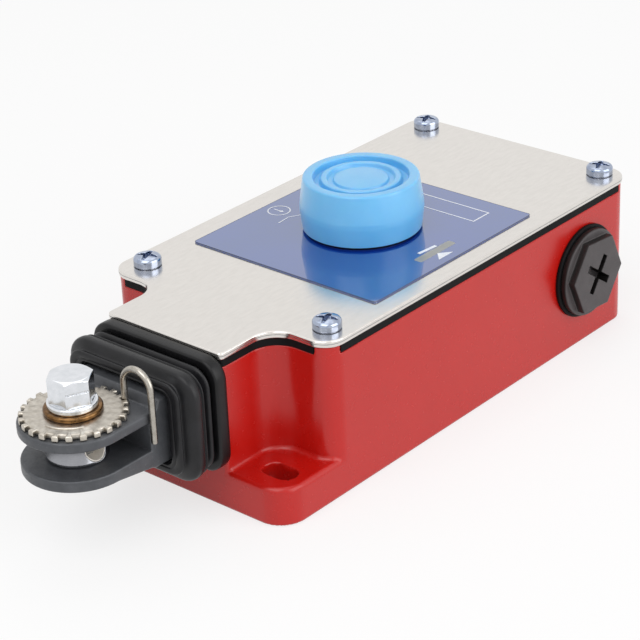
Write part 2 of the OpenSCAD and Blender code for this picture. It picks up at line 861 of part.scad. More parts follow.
module toothed_wheel() {
    tooth_gap = wire_d + 0.3;
    color("darkgray") translate([drum_x, 0, wheel_z]) {
        difference() {
            cylinder(r = wheel_d / 2, h = wheel_t);
            translate([0, 0, -1]) cylinder(r = spindle_d / 2, h = wheel_t + 2);
            for (i = [0:teeth - 1])
                rotate(clip_angle + i * 360 / teeth)
                    translate([wheel_d / 2 - tooth_depth, -tooth_gap / 2, -1])
                        cube([tooth_depth + 1, tooth_gap, wheel_t + 2]);
        }
        translate([0, 0, wheel_t]) rotate(200) rotate_extrude(angle = 70)
            translate([washer_d / 2 + 1.2, -0.1]) square([0.8, 0.35]);
    }
}

module bronze_washer() {
    color("peru") translate([drum_x, 0, 0]) difference() {
        cyl_z(wheel_top_z, collar_z, washer_d / 2);
        cyl_z(0, far, spindle_d / 2);
    }
}

module spindle_circlip() {
    color("dimgray") translate([drum_x, 0, spindle_circlip_z])
        circlip(spindle_d / 2 - 0.5, spindle_circlip_r);
}

// A bent wire: up the outer leg, round the bow and down into the upper ear
module clip() {
    sides = 12;
    bow_steps = 14;
    bow_r = clip_span / 2;
    bow_y = clip_inner_y - bow_r;
    bow_z = clip_top_z - bow_r - wire_d / 2;
    bow = [for (i = [0:bow_steps])
        let (a = 180 - 180 * i / bow_steps)
        [bow_y + bow_r * cos(a), bow_z + bow_r * sin(a), a]];
    path = concat([[clip_outer_y, clip_end_z, 180]], bow, [[clip_inner_y, clip_seat_z + 0.1, 0]]);
    color("tan") translate([clip_x, 0, 0])
        wire_skin([for (p = path, j = [0:sides - 1])
            let (b = 360 * j / sides, off = wire_d / 2 * sin(b))
            [wire_d / 2 * cos(b), p[0] + off * cos(p[2]), p[1] + off * sin(p[2])]], sides);
}

// Reset button
module button_barrel() {
    color("black") translate([button_x, 0, 0]) difference() {
        union() {
            cyl_z(barrel_low_z, barrel_top_z, barrel_r);
            cyl_z(cover_z, cover_z + barrel_flange_t, barrel_flange_r);
        }
        cyl_z(spring_seat_z, far, barrel_bore_r);
        cyl_z(0, far, stem_d / 2 + running);
    }
}

module barrel_nut() {
    color("silver") translate([button_x, 0, barrel_low_z])
        hex_nut(barrel_nut_af, barrel_nut_t, barrel_r);
}

module reset_boot() {
    r = boot_d / 2;
    inner_r = r - rubber_t;
    rim_r = r - 2.2;
    shoulder_r = rim_r - 2.3 + soft_gap;
    color("skyblue") translate([button_x, 0, cover_z]) rotate_extrude($fn = 96) polygon([
        [inner_r, skirt_gap],
        [r - 0.3, skirt_gap],
        [r, boot_h * 0.2],
        [r, boot_h * 0.5],
        [r - 0.7, boot_h * 0.75],
        [rim_r + 0.7, boot_h * 0.93],
        [rim_r - 0.3, boot_h],
        [rim_r - 1.7, boot_h],
        [rim_r - 2, boot_h - 0.8],
        [rim_r - 2.9, boot_h - 0.8],
        [rim_r - 3.2, boot_h - 0.1],
        [r * 0.53, boot_h - 0.1],
        [r * 0.51, boot_h - 0.9],
        [r * 0.45, boot_h - 0.9],
        [r * 0.43, boot_h - 0.3],
        [0, boot_h - 0.3],
        [0, boot_h - boot_top_t],
        [shoulder_r, boot_h - boot_top_t],
        [shoulder_r, boot_h * 0.66],
        [inner_r - 0.2, boot_h * 0.45],
        [inner_r, boot_h * 0.2]
    ]);
}

module reset_cap() {
    cap_r = boot_d / 2 - 4.5;
    skirt_r = barrel_bore_r - running;
    color("white") translate([button_x, 0, 0]) difference() {
        union() {
            cyl_z(cap_low_z, cap_top_z, cap_r);
            cyl_z(cap_low_z - cap_skirt_l, cap_top_z, skirt_r);
        }
        cyl_z(0, cap_low_z, skirt_r - cap_skirt_w);
        cyl_z(0, cap_low_z + 1, stem_d / 2);
    }
}

module reset_stem() {
    r = stem_d / 2;
    color("silver") translate([button_x, 0, 0]) {
        cyl_z(stem_low_z + r, cap_low_z + 1, r);
        translate([0, 0, stem_low_z + r]) sphere(r);
    }
}

module reset_spring() {
    color("lightsteelblue") translate([button_x, 0, spring_seat_z])
        coil(cap_low_z - spring_seat_z - 0.1, stem_d / 2 + 2.1, 0.6, 5);
}

// Latch
module at_bracket_screws() {
    for (s = [-1, 1])
        translate([latch_x, s * bracket_screw_y, 0]) children();
}

module latch_brackets() {
    color("silver") for (s = [-1, 1]) scale([1, s, 1]) difference() {
        union() {
            box_between([latch_x - bracket_l / 2, bracket_y, floor_t],
                [latch_x + bracket_l / 2, bracket_y + latch_t, latch_pin_z + 3]);
            box_between([latch_x - bracket_l / 2, bracket_y, floor_t],
                [latch_x + bracket_l / 2, bracket_y + latch_t + bracket_foot, floor_t + latch_t]);
        }
        translate([latch_x, 0, latch_pin_z]) cyl_y(0, far, latch_pin_d / 2);
        translate([latch_x, bracket_screw_y, 0]) cyl_z(0, far, bracket_screw_r);
    }
}

module bracket_screws() {
    color("silver") translate([0, 0, floor_t + latch_t]) at_bracket_screws()
        pan_screw(2 * bracket_screw_r, latch_t + floor_t - 1.5, 5.6, 2);
}

module latch_pin() {
    color("silver") translate([latch_x, 0, latch_pin_z])
        cyl_y(-bracket_y - latch_t, bracket_y + latch_t, latch_pin_d / 2);
}

module latch_spring() {
    low_y = latch_ear_y + latch_t + 0.2;
    color("lightsteelblue") translate([latch_x, bracket_y - 0.2, latch_pin_z]) rotate([90, 0, 0])
        coil(bracket_y - 0.2 - low_y, latch_pin_d / 2 + 0.8, 0.35, 2);
}

module reset_latch() {
    outer_y = latch_ear_y + latch_t;
    low_z = latch_top_z - latch_t;
    color("lightgray") difference() {
        union() {
            box_between([latch_front_x, -outer_y, low_z], [latch_nose_x, outer_y, latch_top_z]);
            box_between([latch_nose_x - latch_t, -4, cam_top_z + 0.5], [latch_nose_x, 4, latch_top_z]);
            for (s = [-1, 1]) scale([1, s, 1]) {
                translate([latch_x, 0, latch_pin_z]) cyl_y(latch_ear_y, outer_y, latch_ear_r);
                box_between([latch_x - latch_ear_r, latch_ear_y, latch_pin_z],
                    [latch_x + latch_ear_r, outer_y, latch_top_z]);
            }
        }
        translate([latch_x, 0, latch_pin_z]) cyl_y(-far, far, latch_pin_d / 2 + running);
    }
}

// Contacts
module at_contact_screws() {
    for (x = contact_screw_xs, s = [-1, 1])
        translate([x, s * plunger_y, 0]) children();
}

module at_terminals() {
    for (x = terminal_xs, s = [-1, 1], t = [-1, 1])
        translate([x, s * (plunger_y + t * 3.6), 0]) children();
}

module contact_blocks() {
    seat_z = contact_top_z - recess_h;
    color("darkslategray") difference() {
        for (s = [-1, 1])
            translate([contact_x, s * plunger_y, floor_t]) linear_extrude(block_top_h)
                rounded_rect(contact_l, contact_w, 1);
        for (s = [-1, 1])
            translate([plunger_x, s * plunger_y, 0])
                cyl_z(plunger_low_z - plunger_stroke - 0.5, far, plunger_d / 2 + running);
        at_contact_screws() cyl_z(0, far, contact_screw_r);
        at_contact_screws() cyl_z(seat_z, far, contact_head_d / 2);
        at_terminals() cyl_z(seat_z - 4, far, terminal_screw_r);
        at_terminals() cyl_z(seat_z, far, terminal_head_d / 2);
    }
}

module contact_screws() {
    seat_z = contact_top_z - recess_h;
    color("silver") translate([0, 0, seat_z]) at_contact_screws()
        pan_screw(2 * contact_screw_r, seat_z - 1.5, contact_head_d, recess_h);
}

module terminal_screws() {
    color("goldenrod") translate([0, 0, contact_top_z - recess_h]) at_terminals()
        pan_screw(2 * terminal_screw_r, 4, terminal_head_d, recess_h);
}

module contact_plungers() {
    color("ivory") for (s = [-1, 1])
        translate([plunger_x, s * plunger_y, 0]) cyl_z(plunger_low_z, plunger_top_z, plunger_d / 2);
}

module earth_screw() {
    color("goldenrod") translate([earth_x, 0, earth_boss_z])
        pan_screw(2 * earth_screw_r, earth_boss_z - 1, 8, 2.6);
}

housing();
cover_gasket();
cover_plate();
cover_screws();
label();
tension_window();
blanking_plugs();
plug_seals();
bellows_frame();
bellows();
guide_bush();
main_spring();
button_barrel();
barrel_nut();
reset_boot();
reset_cap();
reset_stem();
reset_spring();
fork();
pull_rod();
fork_pin();
spring_washer();
rod_circlip();
cam_carriage();
rod_nuts();
tension_flag();
spindle();
toothed_wheel();
bronze_washer();
spindle_circlip();
clip();
latch_brackets();
bracket_screws();
latch_pin();
latch_spring();
reset_latch();
contact_blocks();
contact_screws();
terminal_screws();
contact_plungers();
earth_screw();
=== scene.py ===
import math
import bpy
import numpy as np
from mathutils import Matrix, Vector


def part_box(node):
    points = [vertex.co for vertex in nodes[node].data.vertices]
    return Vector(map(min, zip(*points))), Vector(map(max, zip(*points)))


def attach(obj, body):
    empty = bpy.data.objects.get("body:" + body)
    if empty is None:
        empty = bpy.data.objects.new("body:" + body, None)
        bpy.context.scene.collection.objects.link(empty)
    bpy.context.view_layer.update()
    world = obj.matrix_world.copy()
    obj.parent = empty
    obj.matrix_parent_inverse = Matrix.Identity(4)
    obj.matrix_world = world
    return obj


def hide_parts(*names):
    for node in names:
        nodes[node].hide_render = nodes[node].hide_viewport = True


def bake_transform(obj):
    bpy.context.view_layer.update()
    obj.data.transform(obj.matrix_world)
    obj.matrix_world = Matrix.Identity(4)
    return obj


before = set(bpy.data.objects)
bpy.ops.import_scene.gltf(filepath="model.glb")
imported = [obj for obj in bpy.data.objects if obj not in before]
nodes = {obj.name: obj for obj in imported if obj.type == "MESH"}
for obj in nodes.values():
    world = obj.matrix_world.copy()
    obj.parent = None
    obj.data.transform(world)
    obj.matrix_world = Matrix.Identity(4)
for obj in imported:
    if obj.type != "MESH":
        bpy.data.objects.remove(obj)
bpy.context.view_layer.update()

import openvdb
from mathutils import Matrix, Vector

mm = 0.001


def boxOf(node):  # lowest and highest corner in millimetres
    low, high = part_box(node)
    return np.array(low) / mm, np.array(high) / mm


# Camera and studio
shot = {"azimuth": -48.29, "elevation": 26.69, "roll": -2.54, "place": (-436.39, -373.12, 307.19), "lens": 123.04}


def addCamera(look):
    data = bpy.data.cameras.new("studioCamera")
    data.lens = look["lens"]
    data.sensor_width = 36
    camera = bpy.data.objects.new("studioCamera", data)
    bpy.context.scene.collection.objects.link(camera)
    turn, tilt = math.radians(look["azimuth"]), math.radians(look["elevation"])
    back = Vector((math.sin(turn) * math.cos(tilt), -math.cos(turn) * math.cos(tilt), math.sin(tilt)))
    aim = (-back).to_track_quat("-Z", "Y").to_matrix() @ Matrix.Rotation(math.radians(look["roll"]), 3, "Z")
    camera.matrix_world = Matrix.Translation(Vector(look["place"]) * mm) @ aim.to_4x4()
    bpy.context.scene.camera = camera


addCamera(shot)
bpy.context.scene.view_settings.view_transform = "Standard"


def linear(hexColour):  # sRGB hex to linear colour with alpha
    parts = [int(hexColour[i:i + 2], 16) / 255 for i in (1, 3, 5)]
    return [p / 12.92 if p <= 0.04045 else ((p + 0.055) / 1.055) ** 2.4 for p in parts] + [1]


def addNode(tree, kind, links=None, **settings):
    made = tree.nodes.new(kind)
    for name, value in settings.items():
        setattr(made, name, value)
    for key, value in (links or {}).items():
        socket = made.inputs[key]
        if isinstance(value, bpy.types.NodeSocket):
            tree.links.new(value, socket)
        else:
            socket.default_value = value
    return made


studio = {"ambient": 0.5, "floor": "#FAFAFA", "floorGlow": 0.72,
          # power, size and place of each lamp
          "lamps": {"keyLight": (9, 1.2, (-0.9, -0.2, 1.3)), "fillLight": (13.5, 1.5, (0.3, -1.5, 0.7)),
                    "topLight": (3, 1.2, (0.4, 0.6, 1.6))}}


def addStudio(look):
    world = bpy.data.worlds.new("studioWorld")
    bpy.context.scene.world = world
    world.use_nodes = True
    tree = world.node_tree
    tree.nodes.clear()
    path = addNode(tree, "ShaderNodeLightPath")
    seen = addNode(tree, "ShaderNodeMath", {0: path.outputs["Is Camera Ray"], 1: path.outputs["Is Glossy Ray"]},
                   operation="MAXIMUM")
    seen = addNode(tree, "ShaderNodeMath", {0: seen.outputs[0], 1: path.outputs["Is Transmission Ray"]},
                   operation="MAXIMUM")
    dim = addNode(tree, "ShaderNodeBackground", {"Color": (1, 1, 1, 1), "Strength": look["ambient"]})
    white = addNode(tree, "ShaderNodeBackground", {"Color": (1, 1, 1, 1), "Strength": 1})
    mix = addNode(tree, "ShaderNodeMixShader", {0: seen.outputs[0], 1: dim.outputs[0], 2: white.outputs[0]})
    addNode(tree, "ShaderNodeOutputWorld", {"Surface": mix.outputs[0]})
    for name, (power, size, place) in look["lamps"].items():
        lamp = bpy.data.lights.new(name, "AREA")
        lamp.energy = power
        lamp.size = size
        lampObject = bpy.data.objects.new(name, lamp)
        bpy.context.scene.collection.objects.link(lampObject)
        lampObject.location = place
        lampObject.rotation_euler = (-Vector(place)).to_track_quat("-Z", "Y").to_euler()
    bpy.ops.mesh.primitive_grid_add(size=8, x_subdivisions=2, y_subdivisions=2, location=(0, 0, -0.0002))
    floor = bpy.context.object
    floor.name = "studioFloor"
    paper = bpy.data.materials.new("paperSweep")
    paper.use_nodes = True
    tree = paper.node_tree
    tree.nodes.clear()
    path = addNode(tree, "ShaderNodeLightPath")
    matt = addNode(tree, "ShaderNodeBsdfDiffuse", {"Color": linear(look["floor"])})
    glow = addNode(tree, "ShaderNodeEmission", {"Color": (1, 1, 1, 1), "Strength": 1})
    seen = addNode(tree, "ShaderNodeMath", {0: path.outputs["Is Camera Ray"], 1: path.outputs["Is Glossy Ray"]},
                   operation="MAXIMUM")
    share = addNode(tree, "ShaderNodeMath", {0: seen.outputs[0], 1: look["floorGlow"]}, operation="MULTIPLY")
    mix = addNode(tree, "ShaderNodeMixShader", {0: share.outputs[0], 1: matt.outputs[0], 2: glow.outputs[0]})
    addNode(tree, "ShaderNodeOutputMaterial", {"Surface": mix.outputs[0]})
    floor.data.materials.append(paper)


addStudio(studio)
print("studio ready")


# Solids from distance fields, in millimetres
def roundedPath(corners, stepAngle=7.5):  # corners are (x, y, radius), returned with their arcs
    points = []
    count = len(corners)
    for i, (x, y, radius) in enumerate(corners):
        here = Vector((x, y))
        before = (Vector(corners[i - 1][:2]) - here).normalized()
        after = (Vector(corners[(i + 1) % count][:2]) - here).normalized()
        if radius <= 0:
            points.append((x, y))
            continue
        half = before.angle(after) / 2
        reach = radius / math.tan(half)
        centre = here + (before + after).normalized() * (radius / math.sin(half))
        start, end = here + before * reach - centre, here + after * reach - centre
        sweep = start.angle_signed(end)
        steps = max(2, round(abs(math.degrees(sweep)) / stepAngle))
        for k in range(steps + 1):
            turn = -sweep * k / steps
            points.append((centre.x + start.x * math.cos(turn) - start.y * math.sin(turn),
                           centre.y + start.x * math.sin(turn) + start.y * math.cos(turn)))
    return points


def polygonGap(x, y, points):  # signed distance to an outline
    nearest, inside = 1e9, False
    for (ax, ay), (bx, by) in zip(points, points[1:] + points[:1]):
        ex, ey = bx - ax, by - ay
        along = np.clip(((x - ax) * ex + (y - ay) * ey) / (ex * ex + ey * ey + 1e-12), 0, 1)
        nearest = np.minimum(nearest, (x - ax - ex * along) ** 2 + (y - ay - ey * along) ** 2)
        if ay != by:
            inside = inside ^ (((ay > y) != (by > y)) & (x < ex * (y - ay) / ey + ax))
    return np.where(inside, -np.sqrt(nearest), np.sqrt(nearest))


def rectGap(x, y, halfX, halfY, radius=0):
    ox, oy = np.abs(x) - halfX + radius, np.abs(y) - halfY + radius
    return np.hypot(np.maximum(ox, 0), np.maximum(oy, 0)) + np.minimum(np.maximum(ox, oy), 0) - radius


def slab(flat, z, low, high, edge=0.0):  # a flat outline made thick, its edges rounded
    a, b = flat + edge, np.abs(z - (low + high) / 2) - (high - low) / 2 + edge
    return np.minimum(np.maximum(a, b), 0) + np.hypot(np.maximum(a, 0), np.maximum(b, 0)) - edge


def join(a, b, fillet):  # both, with a fillet where they meet
    return np.maximum(fillet, np.minimum(a, b)) - np.hypot(np.maximum(fillet - a, 0), np.maximum(fillet - b, 0))


def overlap(a, b, edge):  # what is in both, with a rounded edge
    return np.minimum(-edge, np.maximum(a, b)) + np.hypot(np.maximum(edge + a, 0), np.maximum(edge + b, 0))


def cut(a, b, edge):
    return overlap(a, -b, edge)


def solid(name, field, low, high, voxel, adapt=0.0):
    axes = [np.arange(a - 2.3 * voxel, b + 2.6 * voxel, voxel) for a, b in zip(low, high)]
    depth = field(axes[0][:, None, None], axes[1][None, :, None], axes[2][None, None, :])
    grid = openvdb.FloatGrid(3.0)
    grid.copyFromArray(np.clip(depth / voxel, -3, 3).astype(np.float32))
    points, triangles, quads = grid.convertToPolygons(isovalue=0, adaptivity=adapt)
    points = points.astype(float) * voxel + [axis[0] for axis in axes]
    step = 0.02

    def slope(p):
        rise = [field(*(p + step * np.eye(3)[k]).T) - field(*(p - step * np.eye(3)[k]).T) for k in range(3)]
        rise = np.stack(rise, 1)
        return rise / np.maximum(np.linalg.norm(rise, axis=1, keepdims=True), 1e-9)

    for _ in range(2):  # settle every point on the true surface
        shift = np.clip(field(*points.T), -voxel, voxel)
        points -= slope(points) * shift[:, None]
    faces = [tuple(f) for f in triangles] + [tuple(f) for f in quads]
    mesh = bpy.data.meshes.new(name)
    mesh.from_pydata((points * mm).tolist(), [], faces)
    mesh.validate()
    corner = np.array([points[list(f[:3])] for f in faces])
    volume = np.einsum("ij,ij->i", corner[:, 0], np.cross(corner[:, 1], corner[:, 2])).sum()
    if volume < 0:
        mesh.flip_normals()
    mesh.shade_smooth()
    mesh.normals_split_custom_set_from_vertices(slope(points).tolist())
    piece = bpy.data.objects.new(name, mesh)
    bpy.context.scene.collection.objects.link(piece)
    return piece


# Finishes
finishes = {
    # satin stoving enamel on die-cast zinc: a deep even red, slightly wavy, with a soft clear sheen
    "redEnamel": {"colour": "#B9150E", "second": "#B6140D", "mottle": 9, "rough": 0.27, "spread": 0.005,
                  "grain": 1.8, "height": 0.0002},
    # stainless sheet with a very fine satin brush along its length
    "satinSteel": {"colour": "#DFDBD6", "second": "#DBD7D2", "mottle": 1.2, "metal": 1, "rough": 0.2, "spread": 0.022,
                   "grain": 0.5, "height": 0.0004, "stretch": (0.3, 1, 1)},
    # bright zinc plating: nearly a mirror, with a cold cast
    "brightZinc": {"colour": "#E2E4E8", "second": "#D8DBDF", "mottle": 2, "metal": 1, "rough": 0.14, "spread": 0.03,
                   "grain": 0.6, "height": 0.0006},
    # zinc plating with a blue passivation, on the cover screws
    "blueZinc": {"colour": "#AEB7C8", "second": "#98A2B7", "mottle": 1.6, "metal": 1, "rough": 0.16, "spread": 0.06,
                 "grain": 0.5, "height": 0.002},
    # plain turned and stamped steel: grey, with fine tool lines
    "turnedSteel": {"colour": "#A9A9A8", "second": "#8E8E8E", "mottle": 1.5, "metal": 1, "rough": 0.34, "spread": 0.1,
                    "grain": 0.4, "height": 0.002},
    # dull nickel on a stamped wheel: warm grey with small pits
    "dullNickel": {"colour": "#C9C3B9", "second": "#B4ADA2", "mottle": 1.3, "metal": 1, "rough": 0.36, "spread": 0.08,
                   "grain": 0.35, "height": 0.003, "fleck": "#8E877D", "fleckSize": 0.5, "fleckShare": 0.06},
    # grey oxide on the drum, polished by the rope
    "greyOxide": {"colour": "#9C9DA1", "second": "#95969B", "mottle": 3, "metal": 1, "rough": 0.24,
                  "spread": 0.03, "grain": 0.5, "height": 0.0004},
    # drawn stainless wire: warm satin grey, lines along the wire
    "drawnWire": {"colour": "#B4AFA7", "second": "#A49F96", "mottle": 0.9, "metal": 1, "rough": 0.3, "spread": 0.05,
                  "grain": 0.3, "height": 0.0008},
    # sintered bronze: warm brown metal with a faint oily variation
    "oiledBronze": {"colour": "#8C6943", "second": "#61472C", "mottle": 1.6, "metal": 1, "rough": 0.2, "spread": 0.12,
                    "grain": 0.3, "height": 0.003},
    # brass of terminal screws
    "terminalBrass": {"colour": "#D9B566", "second": "#B98E3E", "mottle": 1.2, "metal": 1, "rough": 0.28,
                      "spread": 0.08, "grain": 0.4, "height": 0.002},
    # moulded black rubber: matt skin that takes broad grey highlights
    "mouldedRubber": {"colour": "#151517", "second": "#1B1B1E", "mottle": 4, "rough": 0.38, "spread": 0.06,
                      "grain": 0.6, "height": 0.004, "ior": 1.38},
    # pressed gasket sheet: dead matt black
    "gasketSheet": {"colour": "#101011", "second": "#141415", "mottle": 4, "rough": 0.6, "spread": 0.06,
                    "grain": 0.6, "height": 0.004, "ior": 1.2},
    # soft silicone of the button boot: light passes a little way in
    "skyBlueSilicone": {"colour": "#62B9EC", "second": "#69BDEE", "mottle": 8, "rough": 0.36, "spread": 0.05,
                        "grain": 0.8, "height": 0.003, "glow": 0.25, "glowDepth": 0.0025, "coat": 0.9,
                        "coatRough": 0.25},
    # dark cathodic coating over shot-blasted casting: pebbled, with pale rubbed flecks; its edges paler, partly rubbed
    # wear and partly a painted highlight
    "darkCastCoat": {"colour": "#515357", "second": "#47494D", "mottle": 3, "metal": 0.25, "rough": 0.42,
                     "spread": 0.1, "grain": 0.55, "height": 0.018, "fleck": "#63666A", "fleckSize": 0.8,
                     "fleckShare": 0.07, "wornAndLitEdge": "#6C6E71"},
    # charcoal nylon moulding: fine eroded texture on its faces; painted shade darkens the sides, which are left
    # smoother
    "charcoalNylon": {"colour": "#464243", "second": "#4C4849", "mottle": 4, "rough": 0.48, "spread": 0.06,
                      "grain": 0.45, "height": 0.006, "ior": 1.36, "side": "#141111"},
    # black moulded plastic of the inner parts and the bellows frame
    "blackMoulding": {"colour": "#121213", "second": "#18181A", "mottle": 5, "rough": 0.34, "spread": 0.05,
                      "grain": 0.6, "height": 0.004, "ior": 1.34},
    # natural acetal: milky white, slightly waxy
    "whiteAcetal": {"colour": "#E6E3D8", "second": "#DDD9CC", "mottle": 5, "rough": 0.38, "spread": 0.05,
                    "grain": 0.7, "height": 0.003, "glow": 0.1, "glowDepth": 0.0015},
    # dark thermoset of the contact blocks
    "darkThermoset": {"colour": "#24282A", "second": "#2D3133", "mottle": 2.5, "rough": 0.5, "spread": 0.08,
                      "grain": 0.5, "height": 0.006},
    # near-white lining of the rope hole: painted light that keeps the hole bright instead of shaded
    "litHoleLining": {"colour": "#F4EEE4", "second": "#ECE5DA", "mottle": 1.2, "rough": 0.3, "spread": 0.05,
                   "grain": 0.4, "height": 0.002, "coat": 1, "coatRough": 0.1},
    # printed polyester film: deep blue ink under a hard glossy face that mirrors the room
    "blueFilm": {"colour": "#0A3290", "second": "#0B318B", "mottle": 14, "rough": 0.07, "spread": 0.02,
                 "grain": 6, "height": 0.003, "ior": 2.45, "mirror": "#EBFBFF", "coat": 0.8, "coatRough": 0.04},
    # white screen ink on the film
    "whiteInk": {"colour": "#F2F3F6", "second": "#E6E8EE", "mottle": 2, "rough": 0.3, "spread": 0.05,
                 "grain": 0.4, "height": 0.002},
    # polycarbonate, frosted on its underside
    "clearPane": {"colour": "#B9B9B4", "second": "#B1B1AC", "mottle": 6, "rough": 0.15, "spread": 0.04,
                  "grain": 2, "height": 0.002, "clear": 0.35},
}


def makeFinish(name, look):
    finish = bpy.data.materials.new(name)
    finish.use_nodes = True
    tree = finish.node_tree
    tree.nodes.clear()
    place = addNode(tree, "ShaderNodeTexCoord")
    mapped = addNode(tree, "ShaderNodeMapping", {"Vector": place.outputs["Object"],
                                                 "Scale": look.get("stretch", (1, 1, 1))})
    where = mapped.outputs["Vector"]
    mottle = addNode(tree, "ShaderNodeTexNoise", {"Vector": where, "Scale": 1 / (look["mottle"] * mm), "Detail": 4})
    even = addNode(tree, "ShaderNodeMapRange", {"Value": mottle.outputs["Fac"], "From Min": 0.35, "From Max": 0.65})
    colour = addNode(tree, "ShaderNodeMix", {0: even.outputs[0]}, data_type="RGBA")
    colour.inputs[6].default_value = linear(look["colour"])
    colour.inputs[7].default_value = linear(look["second"])
    shade = colour.outputs[2]
    if "fleck" in look:
        spots = addNode(tree, "ShaderNodeTexNoise", {"Vector": where, "Scale": 1 / (look["fleckSize"] * mm),
                                                     "Detail": 2, "Roughness": 0.7})
        edge = 0.74 - look["fleckShare"]
        spots = addNode(tree, "ShaderNodeMapRange", {"Value": spots.outputs["Fac"], "From Min": edge,
                                                     "From Max": edge + 0.08})
        flecked = addNode(tree, "ShaderNodeMix", {0: spots.outputs[0], 6: shade, 7: linear(look["fleck"])},
                          data_type="RGBA")
        shade = flecked.outputs[2]
    if "wornAndLitEdge" in look:  # edges paler: partly rubbed wear, partly a painted highlight
        corner = addNode(tree, "ShaderNodeNewGeometry")
        corner = addNode(tree, "ShaderNodeMapRange", {"Value": corner.outputs["Pointiness"], "From Min": 0.54,
                                                      "From Max": 0.62, "To Max": 0.55})
        wornLitEdges = addNode(tree, "ShaderNodeMix", {0: corner.outputs[0], 6: shade, 7: linear(look["wornAndLitEdge"])},
                         data_type="RGBA")
        shade = wornLitEdges.outputs[2]
    if "side" in look:  # painted shade: darker where the skin does not face across the width
        across = addNode(tree, "ShaderNodeSeparateXYZ", {0: place.outputs["Normal"]})
        across = addNode(tree, "ShaderNodeMath", {0: across.outputs[1]}, operation="ABSOLUTE")
        across = addNode(tree, "ShaderNodeMapRange", {"Value": across.outputs[0], "From Min": 0.35, "From Max": 0.85})
        paintedSideShade = addNode(tree, "ShaderNodeMix", {0: across.outputs[0], 6: linear(look["side"]), 7: shade},
                        data_type="RGBA")
        shade = paintedSideShade.outputs[2]
    fine = addNode(tree, "ShaderNodeTexNoise", {"Vector": where, "Scale": 1 / (look["grain"] * mm), "Detail": 3})
    rough = addNode(tree, "ShaderNodeMapRange", {"Value": fine.outputs["Fac"], "From Min": 0.3, "From Max": 0.7,
                                                 "To Min": look["rough"] - look["spread"],
                                                 "To Max": look["rough"] + look["spread"]})
    bump = addNode(tree, "ShaderNodeBump", {"Height": fine.outputs["Fac"], "Distance": look["height"] * mm})
    skin = addNode(tree, "ShaderNodeBsdfPrincipled", {"Base Color": shade, "Roughness": rough.outputs[0],
                                                      "Normal": bump.outputs[0], "Metallic": look.get("metal", 0),
                                                      "IOR": look.get("ior", 1.5)})
    if "mirror" in look:
        skin.inputs["Specular Tint"].default_value = linear(look["mirror"])
    for socket, key in (("Coat Weight", "coat"), ("Coat Roughness", "coatRough"), ("Subsurface Weight", "glow"),
                        ("Subsurface Scale", "glowDepth"), ("Transmission Weight", "clear")):
        if key in look:
            skin.inputs[socket].default_value = look[key]
    addNode(tree, "ShaderNodeOutputMaterial", {"Surface": skin.outputs[0]})
    return finish


paint = {name: makeFinish(name, look) for name, look in finishes.items()}
print("finishes ready:", len(paint))


def dress(piece, finish, slot, body, *replaced):  # finish and body of a finished piece; slot is not used
    piece.data.materials.clear()
    piece.data.materials.append(paint[finish])
    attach(piece, body)
    if replaced:
        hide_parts(*replaced)
    return piece


def dressBetween(piece, finish, node):  # for a soft piece that spans a joint
    piece.data.materials.clear()
    piece.data.materials.append(paint[finish])
    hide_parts(node)
    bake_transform(piece)


def meshPiece(name, points, faces):  # points in millimetres
    mesh = bpy.data.meshes.new(name)
    mesh.from_pydata((np.array(points) * mm).tolist(), [], faces)
    mesh.validate()
    piece = bpy.data.objects.new(name, mesh)
    bpy.context.scene.collection.objects.link(piece)
    return piece


def settle(name, source):  # the evaluated result as a plain mesh in a new object
    graph = bpy.context.evaluated_depsgraph_get()
    mesh = bpy.data.meshes.new_from_object(source.evaluated_get(graph))
    mesh.transform(source.matrix_world)
    piece = bpy.data.objects.new(name, mesh)
    bpy.context.scene.collection.objects.link(piece)
    bpy.data.objects.remove(source)
    return piece


def merge(name, parts):  # several plain meshes as one
    with bpy.context.temp_override(active_object=parts[0], selected_editable_objects=parts):
        bpy.ops.object.join()
    parts[0].name = name
    return parts[0]


def smooth(piece, angle=35):
    piece.data.shade_smooth()
    piece.data.set_sharp_from_angle(angle=math.radians(angle))
    return piece


def plate(name, outlines, low, high, edge):  # a flat sheet with rounded edges, holes where outlines nest
    curve = bpy.data.curves.new(name + "Line", "CURVE")
    curve.dimensions = "2D"
    curve.fill_mode = "BOTH"
    for points in outlines:
        spline = curve.splines.new("POLY")
        spline.points.add(len(points) - 1)
        spline.points.foreach_set("co", [v for x, y in points for v in (x * mm, y * mm, 0, 1)])
        spline.use_cyclic_u = True
    curve.extrude = ((high - low) / 2 - edge) * mm
    curve.bevel_depth = edge * mm
    curve.bevel_resolution = 3
    curve.offset = -edge * mm
    source = bpy.data.objects.new(name + "Line", curve)
    source.location.z = (low + high) / 2 * mm
    bpy.context.scene.collection.objects.link(source)
    bpy.context.view_layer.update()
    return smooth(settle(name, source), 20)


def circle(x, y, radius, steps=64):
    return [(x + radius * math.cos(2 * math.pi * i / steps), y + radius * math.sin(2 * math.pi * i / steps))
            for i in range(steps)]


def rectangle(x, y, width, length, radius=0.0):
    corners = [(x - width / 2, y - length / 2), (x + width / 2, y - length / 2),
               (x + width / 2, y + length / 2), (x - width / 2, y + length / 2)]
    return roundedPath([(a, b, radius) for a, b in corners])


def lathe(name, outline, centre, steps=96):  # an outline of (radius, height) turned around Z
    points, faces, rings = [], [], []
    for radius, height in outline:
        if radius < 1e-4:
            rings.append([len(points)] * steps)
            points.append((centre[0], centre[1], height))
            continue
        rings.append(list(range(len(points), len(points) + steps)))
        points += [(centre[0] + radius * math.cos(2 * math.pi * i / steps),
                    centre[1] + radius * math.sin(2 * math.pi * i / steps), height) for i in range(steps)]
    for here, there in zip(rings, rings[1:] + rings[:1]):
        for i in range(steps):
            k = (i + 1) % steps
            face = list(dict.fromkeys((here[i], here[k], there[k], there[i])))
            if len(face) > 2:
                faces.append(face)
    return smooth(meshPiece(name, points, faces), 50)


